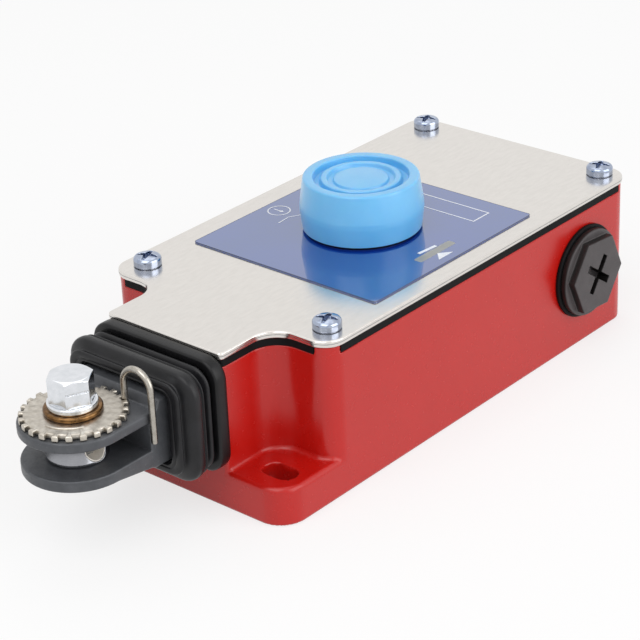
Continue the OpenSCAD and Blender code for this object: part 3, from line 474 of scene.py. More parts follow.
# Geometry Nodes for what repeats or follows a path
def newTree(name, sizes):  # a tree with one geometry input and named inputs, given as (name, type, value)
    tree = bpy.data.node_groups.new(name, "GeometryNodeTree")
    tree.interface.new_socket("Geometry", in_out="INPUT", socket_type="NodeSocketGeometry")
    for label, kind, value in sizes:
        socket = tree.interface.new_socket(label, in_out="INPUT", socket_type="NodeSocket" + kind)
        if value is not None:
            socket.default_value = value
    tree.interface.new_socket("Geometry", in_out="OUTPUT", socket_type="NodeSocketGeometry")
    return tree, addNode(tree, "NodeGroupInput")


def closeTree(tree, start, geometry):
    real = addNode(tree, "GeometryNodeRealizeInstances", {"Geometry": geometry})
    finished = addNode(tree, "GeometryNodeSetMaterial", {"Geometry": real.outputs[0],
                                                         "Material": start.outputs["Finish"]})
    addNode(tree, "NodeGroupOutput", {0: finished.outputs[0]})


def runTree(name, source, tree, values):  # inputs are set by socket identifier, then the result is made plain
    modifier = source.modifiers.new(tree.name, "NODES")
    modifier.node_group = tree
    keys = {item.name: item.identifier for item in tree.interface.items_tree if item.in_out == "INPUT"}
    for label, value in values.items():
        modifier[keys[label]] = value
    bpy.context.view_layer.update()
    return settle(name, source)


def makeGridTree():  # the incoming part, set on every point of a grid
    tree, start = newTree("partsOnGrid", [("Span X", "Float", 1.0), ("Span Y", "Float", 1.0), ("Count X", "Int", 2),
                                          ("Count Y", "Int", 2), ("Centre", "Vector", (0, 0, 0)),
                                          ("Turn", "Float", 0.0), ("Finish", "Material", None)])
    grid = addNode(tree, "GeometryNodeMeshGrid", {"Size X": start.outputs["Span X"], "Size Y": start.outputs["Span Y"],
                                                  "Vertices X": start.outputs["Count X"],
                                                  "Vertices Y": start.outputs["Count Y"]})
    turn = addNode(tree, "ShaderNodeCombineXYZ", {"Z": start.outputs["Turn"]})
    parts = addNode(tree, "GeometryNodeInstanceOnPoints", {"Points": grid.outputs[0],
                                                           "Instance": start.outputs["Geometry"],
                                                           "Rotation": turn.outputs[0]})
    placed = addNode(tree, "GeometryNodeTransform", {"Geometry": parts.outputs[0],
                                                     "Translation": start.outputs["Centre"]})
    closeTree(tree, start, placed.outputs[0])
    return tree


def makeRingTree():  # the incoming sector, repeated around Z and welded
    tree, start = newTree("sectorsOnRing", [("Count", "Int", 12), ("Centre", "Vector", (0, 0, 0)),
                                            ("Start Turn", "Float", 0.0), ("Finish", "Material", None)])
    points = addNode(tree, "GeometryNodePoints", {"Count": start.outputs["Count"]})
    index = addNode(tree, "GeometryNodeInputIndex")
    share = addNode(tree, "ShaderNodeMath", {0: 2 * math.pi, 1: start.outputs["Count"]}, operation="DIVIDE")
    angle = addNode(tree, "ShaderNodeMath", {0: index.outputs[0], 1: share.outputs[0], 2: start.outputs["Start Turn"]},
                    operation="MULTIPLY_ADD")
    turn = addNode(tree, "ShaderNodeCombineXYZ", {"Z": angle.outputs[0]})
    parts = addNode(tree, "GeometryNodeInstanceOnPoints", {"Points": points.outputs[0],
                                                           "Instance": start.outputs["Geometry"],
                                                           "Rotation": turn.outputs[0]})
    solidParts = addNode(tree, "GeometryNodeRealizeInstances", {"Geometry": parts.outputs[0]})
    welded = addNode(tree, "GeometryNodeMergeByDistance", {"Geometry": solidParts.outputs[0], "Distance": 0.000005})
    placed = addNode(tree, "GeometryNodeTransform", {"Geometry": welded.outputs[0],
                                                     "Translation": start.outputs["Centre"]})
    closeTree(tree, start, placed.outputs[0])
    return tree


def makeCoilTree():  # a round-wire coil around Z
    tree, start = newTree("coilSpring", [("Radius", "Float", 0.005), ("Wire", "Float", 0.0005),
                                         ("Height", "Float", 0.02), ("Turns", "Float", 6.0),
                                         ("Centre", "Vector", (0, 0, 0)), ("Tilt", "Vector", (0, 0, 0)),
                                         ("Finish", "Material", None)])
    coil = addNode(tree, "GeometryNodeCurveSpiral", {"Resolution": 40, "Rotations": start.outputs["Turns"],
                                                     "Start Radius": start.outputs["Radius"],
                                                     "End Radius": start.outputs["Radius"],
                                                     "Height": start.outputs["Height"]})
    section = addNode(tree, "GeometryNodeCurvePrimitiveCircle", {"Resolution": 14, "Radius": start.outputs["Wire"]})
    wire = addNode(tree, "GeometryNodeCurveToMesh", {"Curve": coil.outputs[0], "Profile Curve": section.outputs[0],
                                                     "Fill Caps": True})
    placed = addNode(tree, "GeometryNodeTransform", {"Geometry": wire.outputs[0], "Rotation": start.outputs["Tilt"],
                                                     "Translation": start.outputs["Centre"]})
    closeTree(tree, start, placed.outputs[0])
    return tree


def makeWireTree():  # a round wire along the incoming line
    tree, start = newTree("wireOnPath", [("Wire", "Float", 0.0005), ("Sides", "Int", 24),
                                         ("Finish", "Material", None)])
    line = addNode(tree, "GeometryNodeMeshToCurve", {"Mesh": start.outputs["Geometry"]})
    section = addNode(tree, "GeometryNodeCurvePrimitiveCircle", {"Resolution": start.outputs["Sides"],
                                                                 "Radius": start.outputs["Wire"]})
    wire = addNode(tree, "GeometryNodeCurveToMesh", {"Curve": line.outputs[0], "Profile Curve": section.outputs[0],
                                                     "Fill Caps": True})
    closeTree(tree, start, wire.outputs[0])
    return tree


gridTree, ringTree, coilTree, wireTree = makeGridTree(), makeRingTree(), makeCoilTree(), makeWireTree()
print("node trees ready")

# Housing
housingShape = {"neckLength": 20, "neckWidth": 41, "cornerRadius": 6, "neckFillet": 8, "neckCorner": 1.5,
                "footHeight": 11.3, "footCorner": 8, "footEdge": 1.3, "footFillet": 1.3, "wall": 3.5, "floor": 4,
                "frontWall": 5, "gasket": 2.2, "slotWidth": 6.5, "slotLength": 10.5, "slotSpan": 61.6,
                "slotInset": 9.2, "entryBore": 18.4, "entryHeight": 23.7, "entryInset": 23.5, "entryWall": 7,
                "postRadius": 6, "postLand": 2.2, "cornerLand": 5.2, "tapBore": 5, "tapSpan": 48, "tapInset": 18,
                "tapDepth": 8, "tapWall": 2.5, "bossWall": 3, "bushBore": 14, "pullHeight": 30, "screwBore": 4,
                "screwLength": 16}


def bodyOutline(shape, grow=0.0):
    low, high = boxOf("housing")
    front, rear, half = low[0] - grow, high[0] + grow, high[1] + grow
    neck, step = shape["neckWidth"] / 2 + grow, low[0] + shape["neckLength"] - grow
    corner, fillet, tip = shape["cornerRadius"] + grow, shape["neckFillet"] - grow, shape["neckCorner"]
    side = [(front, -neck, tip), (step, -neck, fillet), (step, -half, corner), (rear, -half, corner)]
    return roundedPath(side + [(x, -y, r) for x, y, r in reversed(side)])


def cavityOutline(shape):
    low, high = boxOf("housing")
    wall, step = shape["wall"], low[0] + shape["neckLength"] + shape["wall"]
    front, rear = low[0] + shape["frontWall"], high[0] - wall
    half, neck = high[1] - wall, shape["neckWidth"] / 2 - wall
    side = [(front, -neck, 1.5), (step, -neck, 0.5), (step, -half, 4), (rear, -half, 4)]
    return roundedPath(side + [(x, -y, r) for x, y, r in reversed(side)])


def screwPlaces():
    low, high = boxOf("cover_screws")
    head = 4
    return [(x, y) for x in (low[0] + head, high[0] - head) for y in (low[1] + head, high[1] - head)]


def makeHousing(shape):
    low, high = boxOf("housing")
    castTop = high[2] - shape["gasket"]
    body, cavity = bodyOutline(shape), cavityOutline(shape)
    midX, midY = (low[0] + high[0]) / 2, (low[1] + high[1]) / 2
    entryX, tapX, slotX = high[0] - shape["entryInset"], high[0] - shape["tapInset"], low[0] + shape["slotInset"]

    def field(x, y, z):
        ay = np.abs(y)
        outer = polygonGap(x, y, body)
        foot2 = rectGap(x - midX, y - midY, (high[0] - low[0]) / 2, high[1], shape["cornerRadius"])
        foot2 = np.maximum(foot2, rectGap(x - midX, y - midY, (high[0] - low[0]) / 2, high[1], shape["footCorner"])
                           * (x < midX) - 99 * (x >= midX))
        box = slab(outer, z, low[2] - 3, castTop, 0.5)
        foot = slab(foot2, z, low[2] - 3, shape["footHeight"], shape["footEdge"])
        fillet = np.clip(-foot2, 0.02, shape["footFillet"]) + 0 * z
        shell = join(box, foot, fillet)
        shell = np.maximum(shell, low[2] - z)
        bottom = slab(np.minimum(outer, foot2), z, low[2], high[2] + 9, 0.5)
        shell = np.maximum(shell, bottom)
        shell = cut(shell, slab(polygonGap(x, y, cavity), z, shape["floor"], 90, 1.5), 0.25)
        posts, lands = 1e9, 1e9
        for px, py in screwPlaces():
            reach = np.hypot(x - px, y - py)
            posts, lands = np.minimum(posts, reach - shape["postRadius"]), np.minimum(lands, reach)
        lands = lands - shape["postRadius"] - shape["postLand"]
        posts = np.minimum(slab(posts, z, low[2] + 1, high[2], 0.2), slab(lands, z, low[2] + 1, castTop, 0.2))
        posts = np.maximum(posts, slab(outer, z, low[2] + 1, high[2], 0.2))
        shell = np.minimum(shell, posts)
        half = shape["cornerLand"] / 2
        step = low[0] + shape["neckLength"]
        fromEnds = np.abs(x - (step + high[0]) / 2) - (high[0] - step) / 2
        corner = rectGap(fromEnds + half, ay - high[1] + half, half, half)
        shell = np.minimum(shell, overlap(slab(corner, z, castTop - 3, high[2], 0.2), outer + 0 * z, 0.2))
        entry = np.hypot(x - entryX, z - shape["entryHeight"])
        bossR = shape["entryBore"] / 2 + shape["bossWall"]
        shell = np.minimum(shell, slab(entry - bossR, ay, high[1] - shape["entryWall"], high[1] - 1.5, 0.4))
        rear = np.hypot(y, z - shape["entryHeight"])
        shell = np.minimum(shell, slab(rear - bossR, x, high[0] - shape["entryWall"], high[0] - 1.5, 0.4))
        taps = np.hypot(x - tapX, ay - shape["tapSpan"] / 2)
        taps = taps - shape["tapBore"] / 2
        shell = np.minimum(shell, slab(taps - shape["tapWall"], z, 2, 2 + shape["tapDepth"], 0.4))
        shell = cut(shell, slab(taps, z, -9, shape["tapDepth"]), 0.3)
        slots = rectGap(x - slotX, ay - shape["slotSpan"] / 2, shape["slotWidth"] / 2, shape["slotLength"] / 2,
                        shape["slotWidth"] / 2)
        shell = cut(shell, slots + 0 * z, 0.5)
        shell = cut(shell, slab(entry - shape["entryBore"] / 2, ay, high[1] - 9, high[1] + 9), 0.5)
        shell = cut(shell, slab(rear - shape["entryBore"] / 2, x, high[0] - 9, high[0] + 9), 0.5)
        for px, py in screwPlaces():
            shell = cut(shell, slab(np.hypot(x - px, y - py) - shape["screwBore"] / 2, z,
                                    high[2] + 3 - shape["screwLength"], 90), 0.2)
        bush = slab(np.hypot(y, z - shape["pullHeight"]) - shape["bushBore"] / 2, x, low[0] - 5,
                    low[0] + shape["frontWall"] + 1)
        return cut(shell, bush, 0.3)

    return solid("castHousing", field, low, high, 0.6, 0.02)


dress(makeHousing(housingShape), "redEnamel", "red_enamel", "base", "housing")
print("housing ready")

# Cover, its film and its screws
coverShape = {"lip": 0.4, "edge": 0.45, "screwHole": 2.2, "buttonHole": 11.2, "windowCorner": 0.6}


def makeCover(shape):
    low, high = boxOf("cover_plate")
    window, pane = boxOf("tension_window")
    button = boxOf("reset_boot")
    centre = (button[0] + button[1]) / 2
    holes = [circle(x, y, shape["screwHole"]) for x, y in screwPlaces()]
    holes.append(circle(centre[0], centre[1], shape["buttonHole"]))
    size, middle = pane - window, (pane + window) / 2
    holes.append(rectangle(middle[0], middle[1], size[0], size[1], shape["windowCorner"]))
    return plate("coverSheet", [bodyOutline(housingShape, shape["lip"])] + holes, low[2], high[2], shape["edge"])


def makeSeam(shape):  # the shear line around the sheet's edge
    low, high = boxOf("cover_plate")
    middle = low[2] + 0.55 * (high[2] - low[2])
    return plate("coverSeam", [bodyOutline(housingShape, shape["lip"] + d) for d in (0.02, -0.3)],
                 middle - 0.1, middle + 0.1, 0.0)


dress(makeCover(coverShape), "satinSteel", "steel_cover", "base", "cover_plate")
dress(makeSeam(coverShape), "turnedSteel", "steel_cover", "base")

filmShape = {"edge": 0.06, "corner": 0.8, "holeRadius": 16.4}
printShape = {"lift": 0.02, "thick": 0.03, "line": 0.42,
              "dial": (-3.4, 27.0, 3.5), "arrow": 1.9, "arrowHead": 1.3, "arrowWide": 0.75,
              "lead": [(-10.2, 21.2), (-5.3, 21.6), (-1.8, 19.6)],
              "field": (27.25, 0, 7.7, 48.6), "bar": [(-2.9, -24.8), (4.1, -25.5)], "barWide": 1.05,
              "mark": [(0.4, -28.9), (3.7, -31.9), (-2.7, -31.9)], "border": 0.03}


def makeFilm(shape):
    low, high = boxOf("label")
    window, pane = boxOf("tension_window")
    button = sum(boxOf("reset_boot")) / 2
    size, middle = high - low, (high + low) / 2
    hole, spot = pane - window, (pane + window) / 2
    return plate("printedFilm", [rectangle(middle[0], middle[1], size[0], size[1], shape["corner"]),
                                 circle(button[0], button[1], shape["holeRadius"]),
                                 rectangle(spot[0], spot[1], hole[0], hole[1], 0.6)], low[2], high[2], shape["edge"])


def stroke(start, end, width):  # the outline of one straight line
    along = Vector(end) - Vector(start)
    side = along.orthogonal().normalized() * width / 2
    return [tuple(Vector(start) + side), tuple(Vector(end) + side), tuple(Vector(end) - side),
            tuple(Vector(start) - side)]


def makePrint(shape):
    top = boxOf("label")[1][2]
    x, y, radius = shape["dial"]
    line, reach, head = shape["line"], shape["arrow"], shape["arrowHead"]
    marks = [circle(x, y, radius), circle(x, y, radius - line), stroke((x, y + reach), (x, y - reach + head), line),
             [(x, y - reach), (x + shape["arrowWide"], y - reach + head), (x - shape["arrowWide"], y - reach + head)]]
    marks += [stroke(a, b, line) for a, b in zip(shape["lead"], shape["lead"][1:])]
    x, y, wide, long = shape["field"]
    marks += [rectangle(x, y, wide, long), rectangle(x, y, wide - 2 * line, long - 2 * line)]
    marks += [stroke(*shape["bar"], shape["barWide"]), shape["mark"]]
    low = top + shape["lift"]
    high = low + shape["thick"]
    parts = [plate("ink", rings, low, high, 0.0) for rings in (marks[:2], marks[6:8])]
    parts += [plate("ink", [mark], low, high, 0.0) for mark in marks[2:6] + marks[8:]]
    return merge("filmPrint", parts)


def makeBorder(shape):  # a dark line along the film's cut edge
    low, high = boxOf("label")
    size, middle, line = high - low, (high + low) / 2, shape["border"]
    return plate("filmBorder", [rectangle(middle[0], middle[1], size[0] + d, size[1] + d, 0.8 + d / 2)
                                for d in (0.04, -2 * line)], high[2] - 0.12, high[2] + 0.03, 0.0)


dress(makeFilm(filmShape), "blueFilm", "blue_label", "base", "label")
dress(makePrint(printShape), "whiteInk", "white_plastic", "base")
dress(makeBorder(printShape), "charcoalNylon", "blue_label", "base")
print("cover and film ready")

screwShape = {"head": 8, "headHeight": 3.25, "dome": 12, "shank": 3.9, "length": 16, "slot": 0.8,
              "reach": 3.0, "taper": 0.2, "depth": 2.4, "seat": 0.24, "voxel": 0.16, "turn": 20}


def makeScrew(shape):  # a pan head with a cross recess, seated at the origin
    top = shape["headHeight"]

    def field(x, y, z):
        radial = np.hypot(x, y)
        head = np.minimum(slab(radial - shape["head"] / 2, z, shape["seat"], 9, 0.12),
                          slab(radial - shape["head"] / 2 + 0.5, z, 0, 1))
        dome = np.sqrt(radial ** 2 + (z - top + shape["dome"]) ** 2) - shape["dome"]
        head = overlap(head, dome, 0.7)
        body = np.minimum(head, slab(radial - shape["shank"] / 2, z, -shape["length"], 0.5, 0.3))
        arms = 9.0
        for a, b in ((x, y), (y, x)):
            width = shape["slot"] / 2 + shape["taper"] * (shape["reach"] - np.abs(a))
            arms = np.minimum(arms, np.maximum(np.abs(b) - width, np.abs(a) - shape["reach"]))
        sunk = np.maximum(arms, top - shape["depth"] + np.abs(radial) * 0.3 - z)
        return cut(body, sunk, 0.14)

    half = shape["head"] / 2
    return solid("screw", field, (-half, -half, -shape["length"]), (half, half, top), shape["voxel"], 0.01)


def makeCoverScrews(shape):
    places = np.array(screwPlaces())
    low, high = places.min(0), places.max(0)
    seat = boxOf("cover_plate")[1][2]
    span, middle = high - low, (high + low) / 2
    return runTree("coverScrews", makeScrew(shape), gridTree, {
        "Span X": float(span[0]) * mm, "Span Y": float(span[1]) * mm,
        "Centre": (middle[0] * mm, middle[1] * mm, seat * mm), "Turn": math.radians(shape["turn"]),
        "Finish": paint["blueZinc"]})


dress(makeCoverScrews(screwShape), "blueZinc", "bright_zinc", "base", "cover_screws")
print("cover screws ready")

# Reset boot
bootShape = {"gap": 1.2, "base": 17.3, "widest": 17.97, "widestAt": 5.5, "stillFoot": 2.5, "wholeTop": 3.5}


def makeBoot(shape):
    low, high = boxOf("reset_boot")
    centre, top = (low + high) / 2, high[2]
    cover = boxOf("cover_plate")[1][2]
    base, wide = cover + shape["gap"], shape["widest"]
    corners = [(shape["base"], base, 0.3),
               (wide, base + shape["widestAt"], 6), (wide, base + shape["widestAt"] + 1.6, 5),
               (16.75, top, 0.7), (13.9, top, 0.45), (13.6, top - 2.2, 0.5), (11.9, top - 2.2, 0.5),
               (11.5, top - 0.6, 0.45), (9.9, top - 0.6, 0.45), (9.5, top - 1.8, 0.45), (8.1, top - 1.8, 0.45),
               (7.75, top - 1.0, 0.4), (0, top - 0.8, 0), (0, top - 2.8, 0), (8, top - 3.2, 1), (13.6, top - 3.6, 1),
               (15.6, base + 8, 3), (16.2, base, 0.3)]
    return lathe("resetBoot", roundedPath(corners, 12), centre, 128)


boot = makeBoot(bootShape)
dressBetween(boot, "skyBlueSilicone", "reset_boot")


# Bellows and the frame that holds it
bellowsShape = {
    "centre": 29.6, "blockCentre": 30, "arc": 9, "stillRoot": 4, "wholeLip": 2,
    # distance from the housing's face, half width, half height and corner radius: first the outside of the folds
    "outside": [(1.0, 18.4, 12.3, 4), (4.2, 18.5, 12.4, 4), (4.9, 18.9, 12.8, 4.2), (5.2, 20.6, 14.2, 5),
                (5.45, 21.5, 14.9, 5.4), (6.0, 21.6, 15.0, 5.4), (6.5, 21.4, 14.9, 5.4), (6.9, 20.4, 14.0, 5),
                (7.4, 19.4, 13.2, 4.6), (8.0, 19.2, 13.0, 4.6), (8.4, 20.2, 13.8, 5), (8.7, 21.8, 15.0, 5.8),
                (8.9, 22.5, 15.35, 6), (9.15, 22.6, 15.4, 6), (9.4, 22.2, 15.1, 6), (9.65, 21.9, 14.8, 5.8),
                (9.9, 22.3, 15.2, 6), (10.3, 22.9, 15.8, 6.6), (11.0, 23.1, 16.0, 7), (12.0, 23.15, 16.05, 7),
                (12.8, 23.0, 15.9, 7), (13.3, 22.3, 15.3, 6.6), (13.7, 20.9, 14.2, 5.6), (14.1, 19.6, 13.2, 4.8),
                (14.5, 19.0, 13.0, 4.4), (14.9, 19.4, 13.1, 4.4), (15.2, 20.0, 13.4, 4.6), (15.7, 20.1, 13.5, 4.6),
                (16.0, 19.9, 13.3, 4.6), (16.18, 19.3, 12.9, 4.2)],
    # the front face, with a fine groove around the block, then the mouth
    "face": [(16.2, 18.2, 12.0, 3.6), (16.05, 17.8, 11.7, 3.4), (15.8, 17.6, 11.6, 3.3), (16.05, 17.3, 11.4, 3.1),
             (16.1, 16.6, 11.0, 2.7), (15.9, 16.0, 10.8, 2.3), (15.2, 15.7, 10.6, 1.8), (14.9, 15.3, 10.4, 1.4)],
    # the inside, back to the housing
    "inside": [(14.6, 15.1, 9.9, 1.2), (14.1, 16.0, 10.6, 2), (14.0, 17.5, 11.5, 3), (13.9, 18.2, 12.0, 3.2),
               (13.3, 20.4, 13.8, 4.6), (12.6, 21.8, 14.8, 5.6), (11.5, 22.0, 14.9, 5.8), (10.4, 21.6, 14.6, 5.6),
               (9.6, 20.6, 13.6, 4.8), (8.6, 19.4, 12.6, 4), (7.8, 18.0, 11.9, 3.6), (6.9, 18.6, 12.2, 3.6),
               (6.0, 20.2, 13.6, 4.4), (5.4, 19.6, 13.2, 4.2), (4.8, 17.4, 11.4, 3.2), (1.0, 17.2, 11.1, 3)]}


def ringPoints(x, halfY, halfZ, radius, centre, arc):  # one rounded rectangle across X
    corners = [(-halfY, -halfZ), (halfY, -halfZ), (halfY, halfZ), (-halfY, halfZ)]
    flat = []
    for index, (y, z) in enumerate(corners):
        cy, cz = y - math.copysign(radius, y), z - math.copysign(radius, z)
        for k in range(arc + 1):
            turn = math.radians(180 + 90 * index + 90 * k / arc)
            flat.append((x, cy + radius * math.cos(turn), centre + cz + radius * math.sin(turn)))
    straights = []
    for here, there in zip(flat, flat[1:] + flat[:1]):  # extra points along the straight sides
        straights.append(here)
        if math.dist(here, there) > 2 * radius:
            straights += [tuple(a + (b - a) * k / 6 for a, b in zip(here, there)) for k in range(1, 6)]
    return straights


def loft(name, rings):  # closed skin through rings, first joined to last
    size = len(rings[0])
    faces = []
    for i in range(len(rings)):
        a, b = i * size, (i + 1) % len(rings) * size
        faces += [(a + k, a + (k + 1) % size, b + (k + 1) % size, b + k) for k in range(size)]
    return meshPiece(name, [p for ring in rings for p in ring], faces)


def makeBellows(shape):
    front = boxOf("housing")[0][0]

    def middle(reach):  # the mouth is centred on the pull axis
        return shape["centre"] + (shape["blockCentre"] - shape["centre"]) * min(max(0, reach - 12.8) / 1.7, 1)

    rows = shape["outside"] + shape["face"] + shape["inside"]
    rings = [ringPoints(front - reach, y, z, corner, middle(reach), shape["arc"]) for reach, y, z, corner in rows]
    piece = loft("rubberBellows", rings)
    finer = piece.modifiers.new("finer", "SUBSURF")
    finer.levels = finer.render_levels = 1
    bpy.context.view_layer.update()
    return smooth(settle("rubberBellows", piece), 60)


bellows = makeBellows(bellowsShape)
dressBetween(bellows, "mouldedRubber", "bellows")

frameShape = {"corner": 6, "arc": 12,
              # inset from the outer edge and distance from the housing's face, around the section
              "section": [(0.25, 0.0), (0.0, 0.3), (0.0, 3.3), (0.12, 3.8), (0.5, 4.12), (0.95, 4.2), (2.5, 4.2),
                          (2.95, 4.05), (3.15, 3.7), (3.25, 2.2), (3.4, 1.9), (3.8, 1.7), (4.0, 1.5), (4.0, 0.0)]}


def makeBellowsFrame(shape):
    low, high = boxOf("bellows_frame")
    halfY, halfZ, centre = (high[1] - low[1]) / 2, (high[2] - low[2]) / 2, (low[2] + high[2]) / 2
    rings = [ringPoints(high[0] - reach, halfY - inset, halfZ - inset, shape["corner"] - inset * 0.8, centre,
                        shape["arc"]) for inset, reach in shape["section"]]
    piece = loft("bellowsFrame", rings)
    finer = piece.modifiers.new("finer", "SUBSURF")
    finer.levels = finer.render_levels = 1
    bpy.context.view_layer.update()
    return smooth(settle("bellowsFrame", piece), 60)


dress(makeBellowsFrame(frameShape), "blackMoulding", "black_rubber", "base", "bellows_frame")
print("bellows ready")


# Rope fork
forkShape = {"ear": 14.8, "gapLow": 26.1, "gapHigh": 34.2, "earTop": 37.1, "earLow": 22.7, "blockFront": -101.5,
             "bore": 10.1, "edge": 0.7, "circlipPocket": 8, "rodBore": 8, "rodDepth": 8, "clipBore": 1.0,
             "voxel": 0.35}


def makeFork(shape):
    low, high = boxOf("fork")
    drum = (boxOf("spindle")[0] + boxOf("spindle")[1]) / 2
    wheel = boxOf("toothed_wheel")
    clipLow, clipHigh = boxOf("clip")
    ear, dx, front = shape["ear"], drum[0], shape["blockFront"]
    ramp = wheel[1][0] + 0.4
    side = roundedPath([(dx - ear - 5, shape["earLow"], 0), (dx, shape["earLow"], 6), (front, low[2] + 0.5, 1),
                        (front + 1, low[2], 1), (high[0], low[2], 0.6), (high[0], high[2], 0.6),
                        (ramp + 1.2, high[2], 0.5), (ramp, shape["earTop"], 0.4), (dx - ear - 5, shape["earTop"], 0)])
    pull = (low[2] + high[2]) / 2
    pinX = high[0] - shape["rodDepth"] / 2
    clipY = clipHigh[1] - 0.9
    clipX = (clipLow[0] + clipHigh[0]) / 2

    def field(x, y, z):
        profile = polygonGap(x, z, side)
        top = np.minimum(np.hypot(x - dx, y) - ear, rectGap(x - (dx + high[0]) / 2, y, (high[0] - dx) / 2, ear, 0.5))
        body = overlap(profile + 0 * y, top + 0 * z, shape["edge"])
        gap = slab(np.maximum(x - front, -9 - x + dx - ear), z, shape["gapLow"], shape["gapHigh"], 0.2)
        body = cut(body, gap, 0.45)
        body = cut(body, np.hypot(x - dx, y) - shape["bore"] / 2 + 0 * z, 0.3)
        pocket = slab(np.hypot(x - dx, y) - shape["circlipPocket"], z, -9, shape["earLow"])
        body = cut(body, pocket, 0.3)
        body = cut(body, slab(np.hypot(y, z - pull) - shape["rodBore"] / 2, x, high[0] - shape["rodDepth"], 90), 0.2)
        body = cut(body, np.hypot(x - pinX, y) - 1.5 + 0 * z, 0.2)
        return cut(body, slab(np.hypot(x - clipX, y - clipY) - shape["clipBore"], z, shape["gapHigh"] + 0.7, 90), 0.2)

    return solid("castFork", field, low, high, shape["voxel"], 0.01)


dress(makeFork(forkShape), "darkCastCoat", "fork_zinc", "slider", "fork")
print("fork ready")

# Toothed wheel
wheelShape = {"teeth": 24, "bore": 5.05, "tip": 14.2, "root": 12.9, "gapWide": 1.9, "edge": 0.4,
              "thick": 1.7, "turn": -26, "ridge": 10, "ridgeWide": 0.7, "ridgeHigh": 0.3, "ridgeFrom": 183,
              "ridgeSweep": 58}


def toothOutline(shape, inset):  # one tooth between two half gaps, from low to high angle
    half, tip, root = math.pi / shape["teeth"], shape["tip"] - inset, shape["root"] - inset
    flank = shape["gapWide"] / 2 + inset
    rows = []
    for share in (-1, -0.94, -0.88):
        rows.append((root, share * half))
    gapAngle = half - math.asin(flank / root)
    for radius in (root + 0.25, (root + tip) / 2, tip - 0.45, tip - 0.12):
        rows.append((radius, -(half - math.asin(flank / radius))))
    tipAngle = half - math.asin(flank / tip)
    rows[2] = (root, -gapAngle - 0.006)
    rows += [(tip, -tipAngle * 0.8), (tip, -tipAngle * 0.4), (tip, 0)]
    return rows + [(radius, -angle) for radius, angle in reversed(rows[:-1])]


def makeWheel(shape):
    low, high = boxOf("toothed_wheel")
    centre = (low + high) / 2
    edge, thick = shape["edge"], shape["thick"]
    loops = []
    for step in range(4):  # rounded top edge, then the rounded bottom edge
        turn = math.radians(90 * step / 3)
        loops.append((edge * (1 - math.sin(turn)), thick - edge * (1 - math.cos(turn))))
    loops += [(inset, thick - height) for inset, height in reversed(loops)]
    outlines = [[(r, a, height) for r, a in toothOutline(shape, inset)] for inset, height in loops]
    count = len(outlines[0])
    angles = [a for r, a, h in outlines[0]]
    bore = [[(shape["bore"], a, height) for a in angles] for height in (0, thick)]
    web = [[(shape["root"] - 1.6, a, height) for a in angles] for height in (0, thick)]
    rings = [bore[1], web[1]] + outlines + [web[0], bore[0]]
    points = [(r * math.cos(a), r * math.sin(a), h) for ring in rings for r, a, h in ring]
    faces = []
    for i in range(len(rings)):
        a, b = i * count, (i + 1) % len(rings) * count
        faces += [(a + k, b + k, b + k + 1, a + k + 1) for k in range(count - 1)]
    wheel = runTree("toothedRing", meshPiece("toothSector", points, faces), ringTree, {
        "Count": shape["teeth"], "Centre": (centre[0] * mm, centre[1] * mm, low[2] * mm),
        "Start Turn": math.radians(shape["turn"]) + math.pi / shape["teeth"], "Finish": paint["dullNickel"]})
    smooth(wheel, 30)
    even = wheel.modifiers.new("flatFaces", "WEIGHTED_NORMAL")
    even.keep_sharp = True
    bpy.context.view_layer.update()
    wheel = settle("toothedRing", wheel)
    start = math.radians(shape["ridgeFrom"])
    sweep = math.radians(shape["ridgeSweep"])
    half = shape["ridgeWide"] / 2
    section = [(-half, -0.1), (half, -0.1), (half, 0.12), (half * 0.5, shape["ridgeHigh"]),
               (-half * 0.5, shape["ridgeHigh"]), (-half, 0.12)]
    steps = 40
    points = []
    for k in range(steps + 1):
        turn = start + sweep * k / steps
        points += [(centre[0] + (shape["ridge"] + r) * math.cos(turn),
                    centre[1] + (shape["ridge"] + r) * math.sin(turn), low[2] + thick + h) for r, h in section]
    size = len(section)
    faces = [tuple(range(size - 1, -1, -1)), tuple(steps * size + k for k in range(size))]
    for i in range(steps):
        faces += [(i * size + k, i * size + (k + 1) % size, (i + 1) * size + (k + 1) % size, (i + 1) * size + k)
                  for k in range(size)]
    ridge = smooth(meshPiece("wheelRidge", points, faces), 40)
    return merge("toothedWheel", [wheel, ridge])


dress(makeWheel(wheelShape), "dullNickel", "wheel_nickel", "drum", "toothed_wheel")

# Washer and spindle
washerShape = {"edge": 0.6, "bore": 5.05}


def makeWasher(shape):
    low, high = boxOf("bronze_washer")
    centre, radius, edge = (low + high) / 2, (high[0] - low[0]) / 2, shape["edge"]
    corners = [(shape["bore"], low[2], 0.1), (radius, low[2], edge), (radius, high[2], edge),
               (shape["bore"], high[2], 0.1)]
    return lathe("bronzeWasher", roundedPath(corners, 15), centre)


dress(makeWasher(washerShape), "oiledBronze", "bronze", "drum", "bronze_washer")

spindleShape = {"across": 11, "hexHeight": 7.6, "turn": 4, "collar": 6.7, "collarThick": 1.5, "shaft": 5, "drum": 8.3,
                "waist": 7.7, "gapLow": 26.1, "gapHigh": 34.2, "ropeHole": 3.1, "ropeAt": 30.15, "sleeve": 0.4,
                "line": 0.55, "lineWide": 0.4, "lineDeep": 0.3, "lineTurn": 244, "groove": 0.5, "voxel": 0.2}


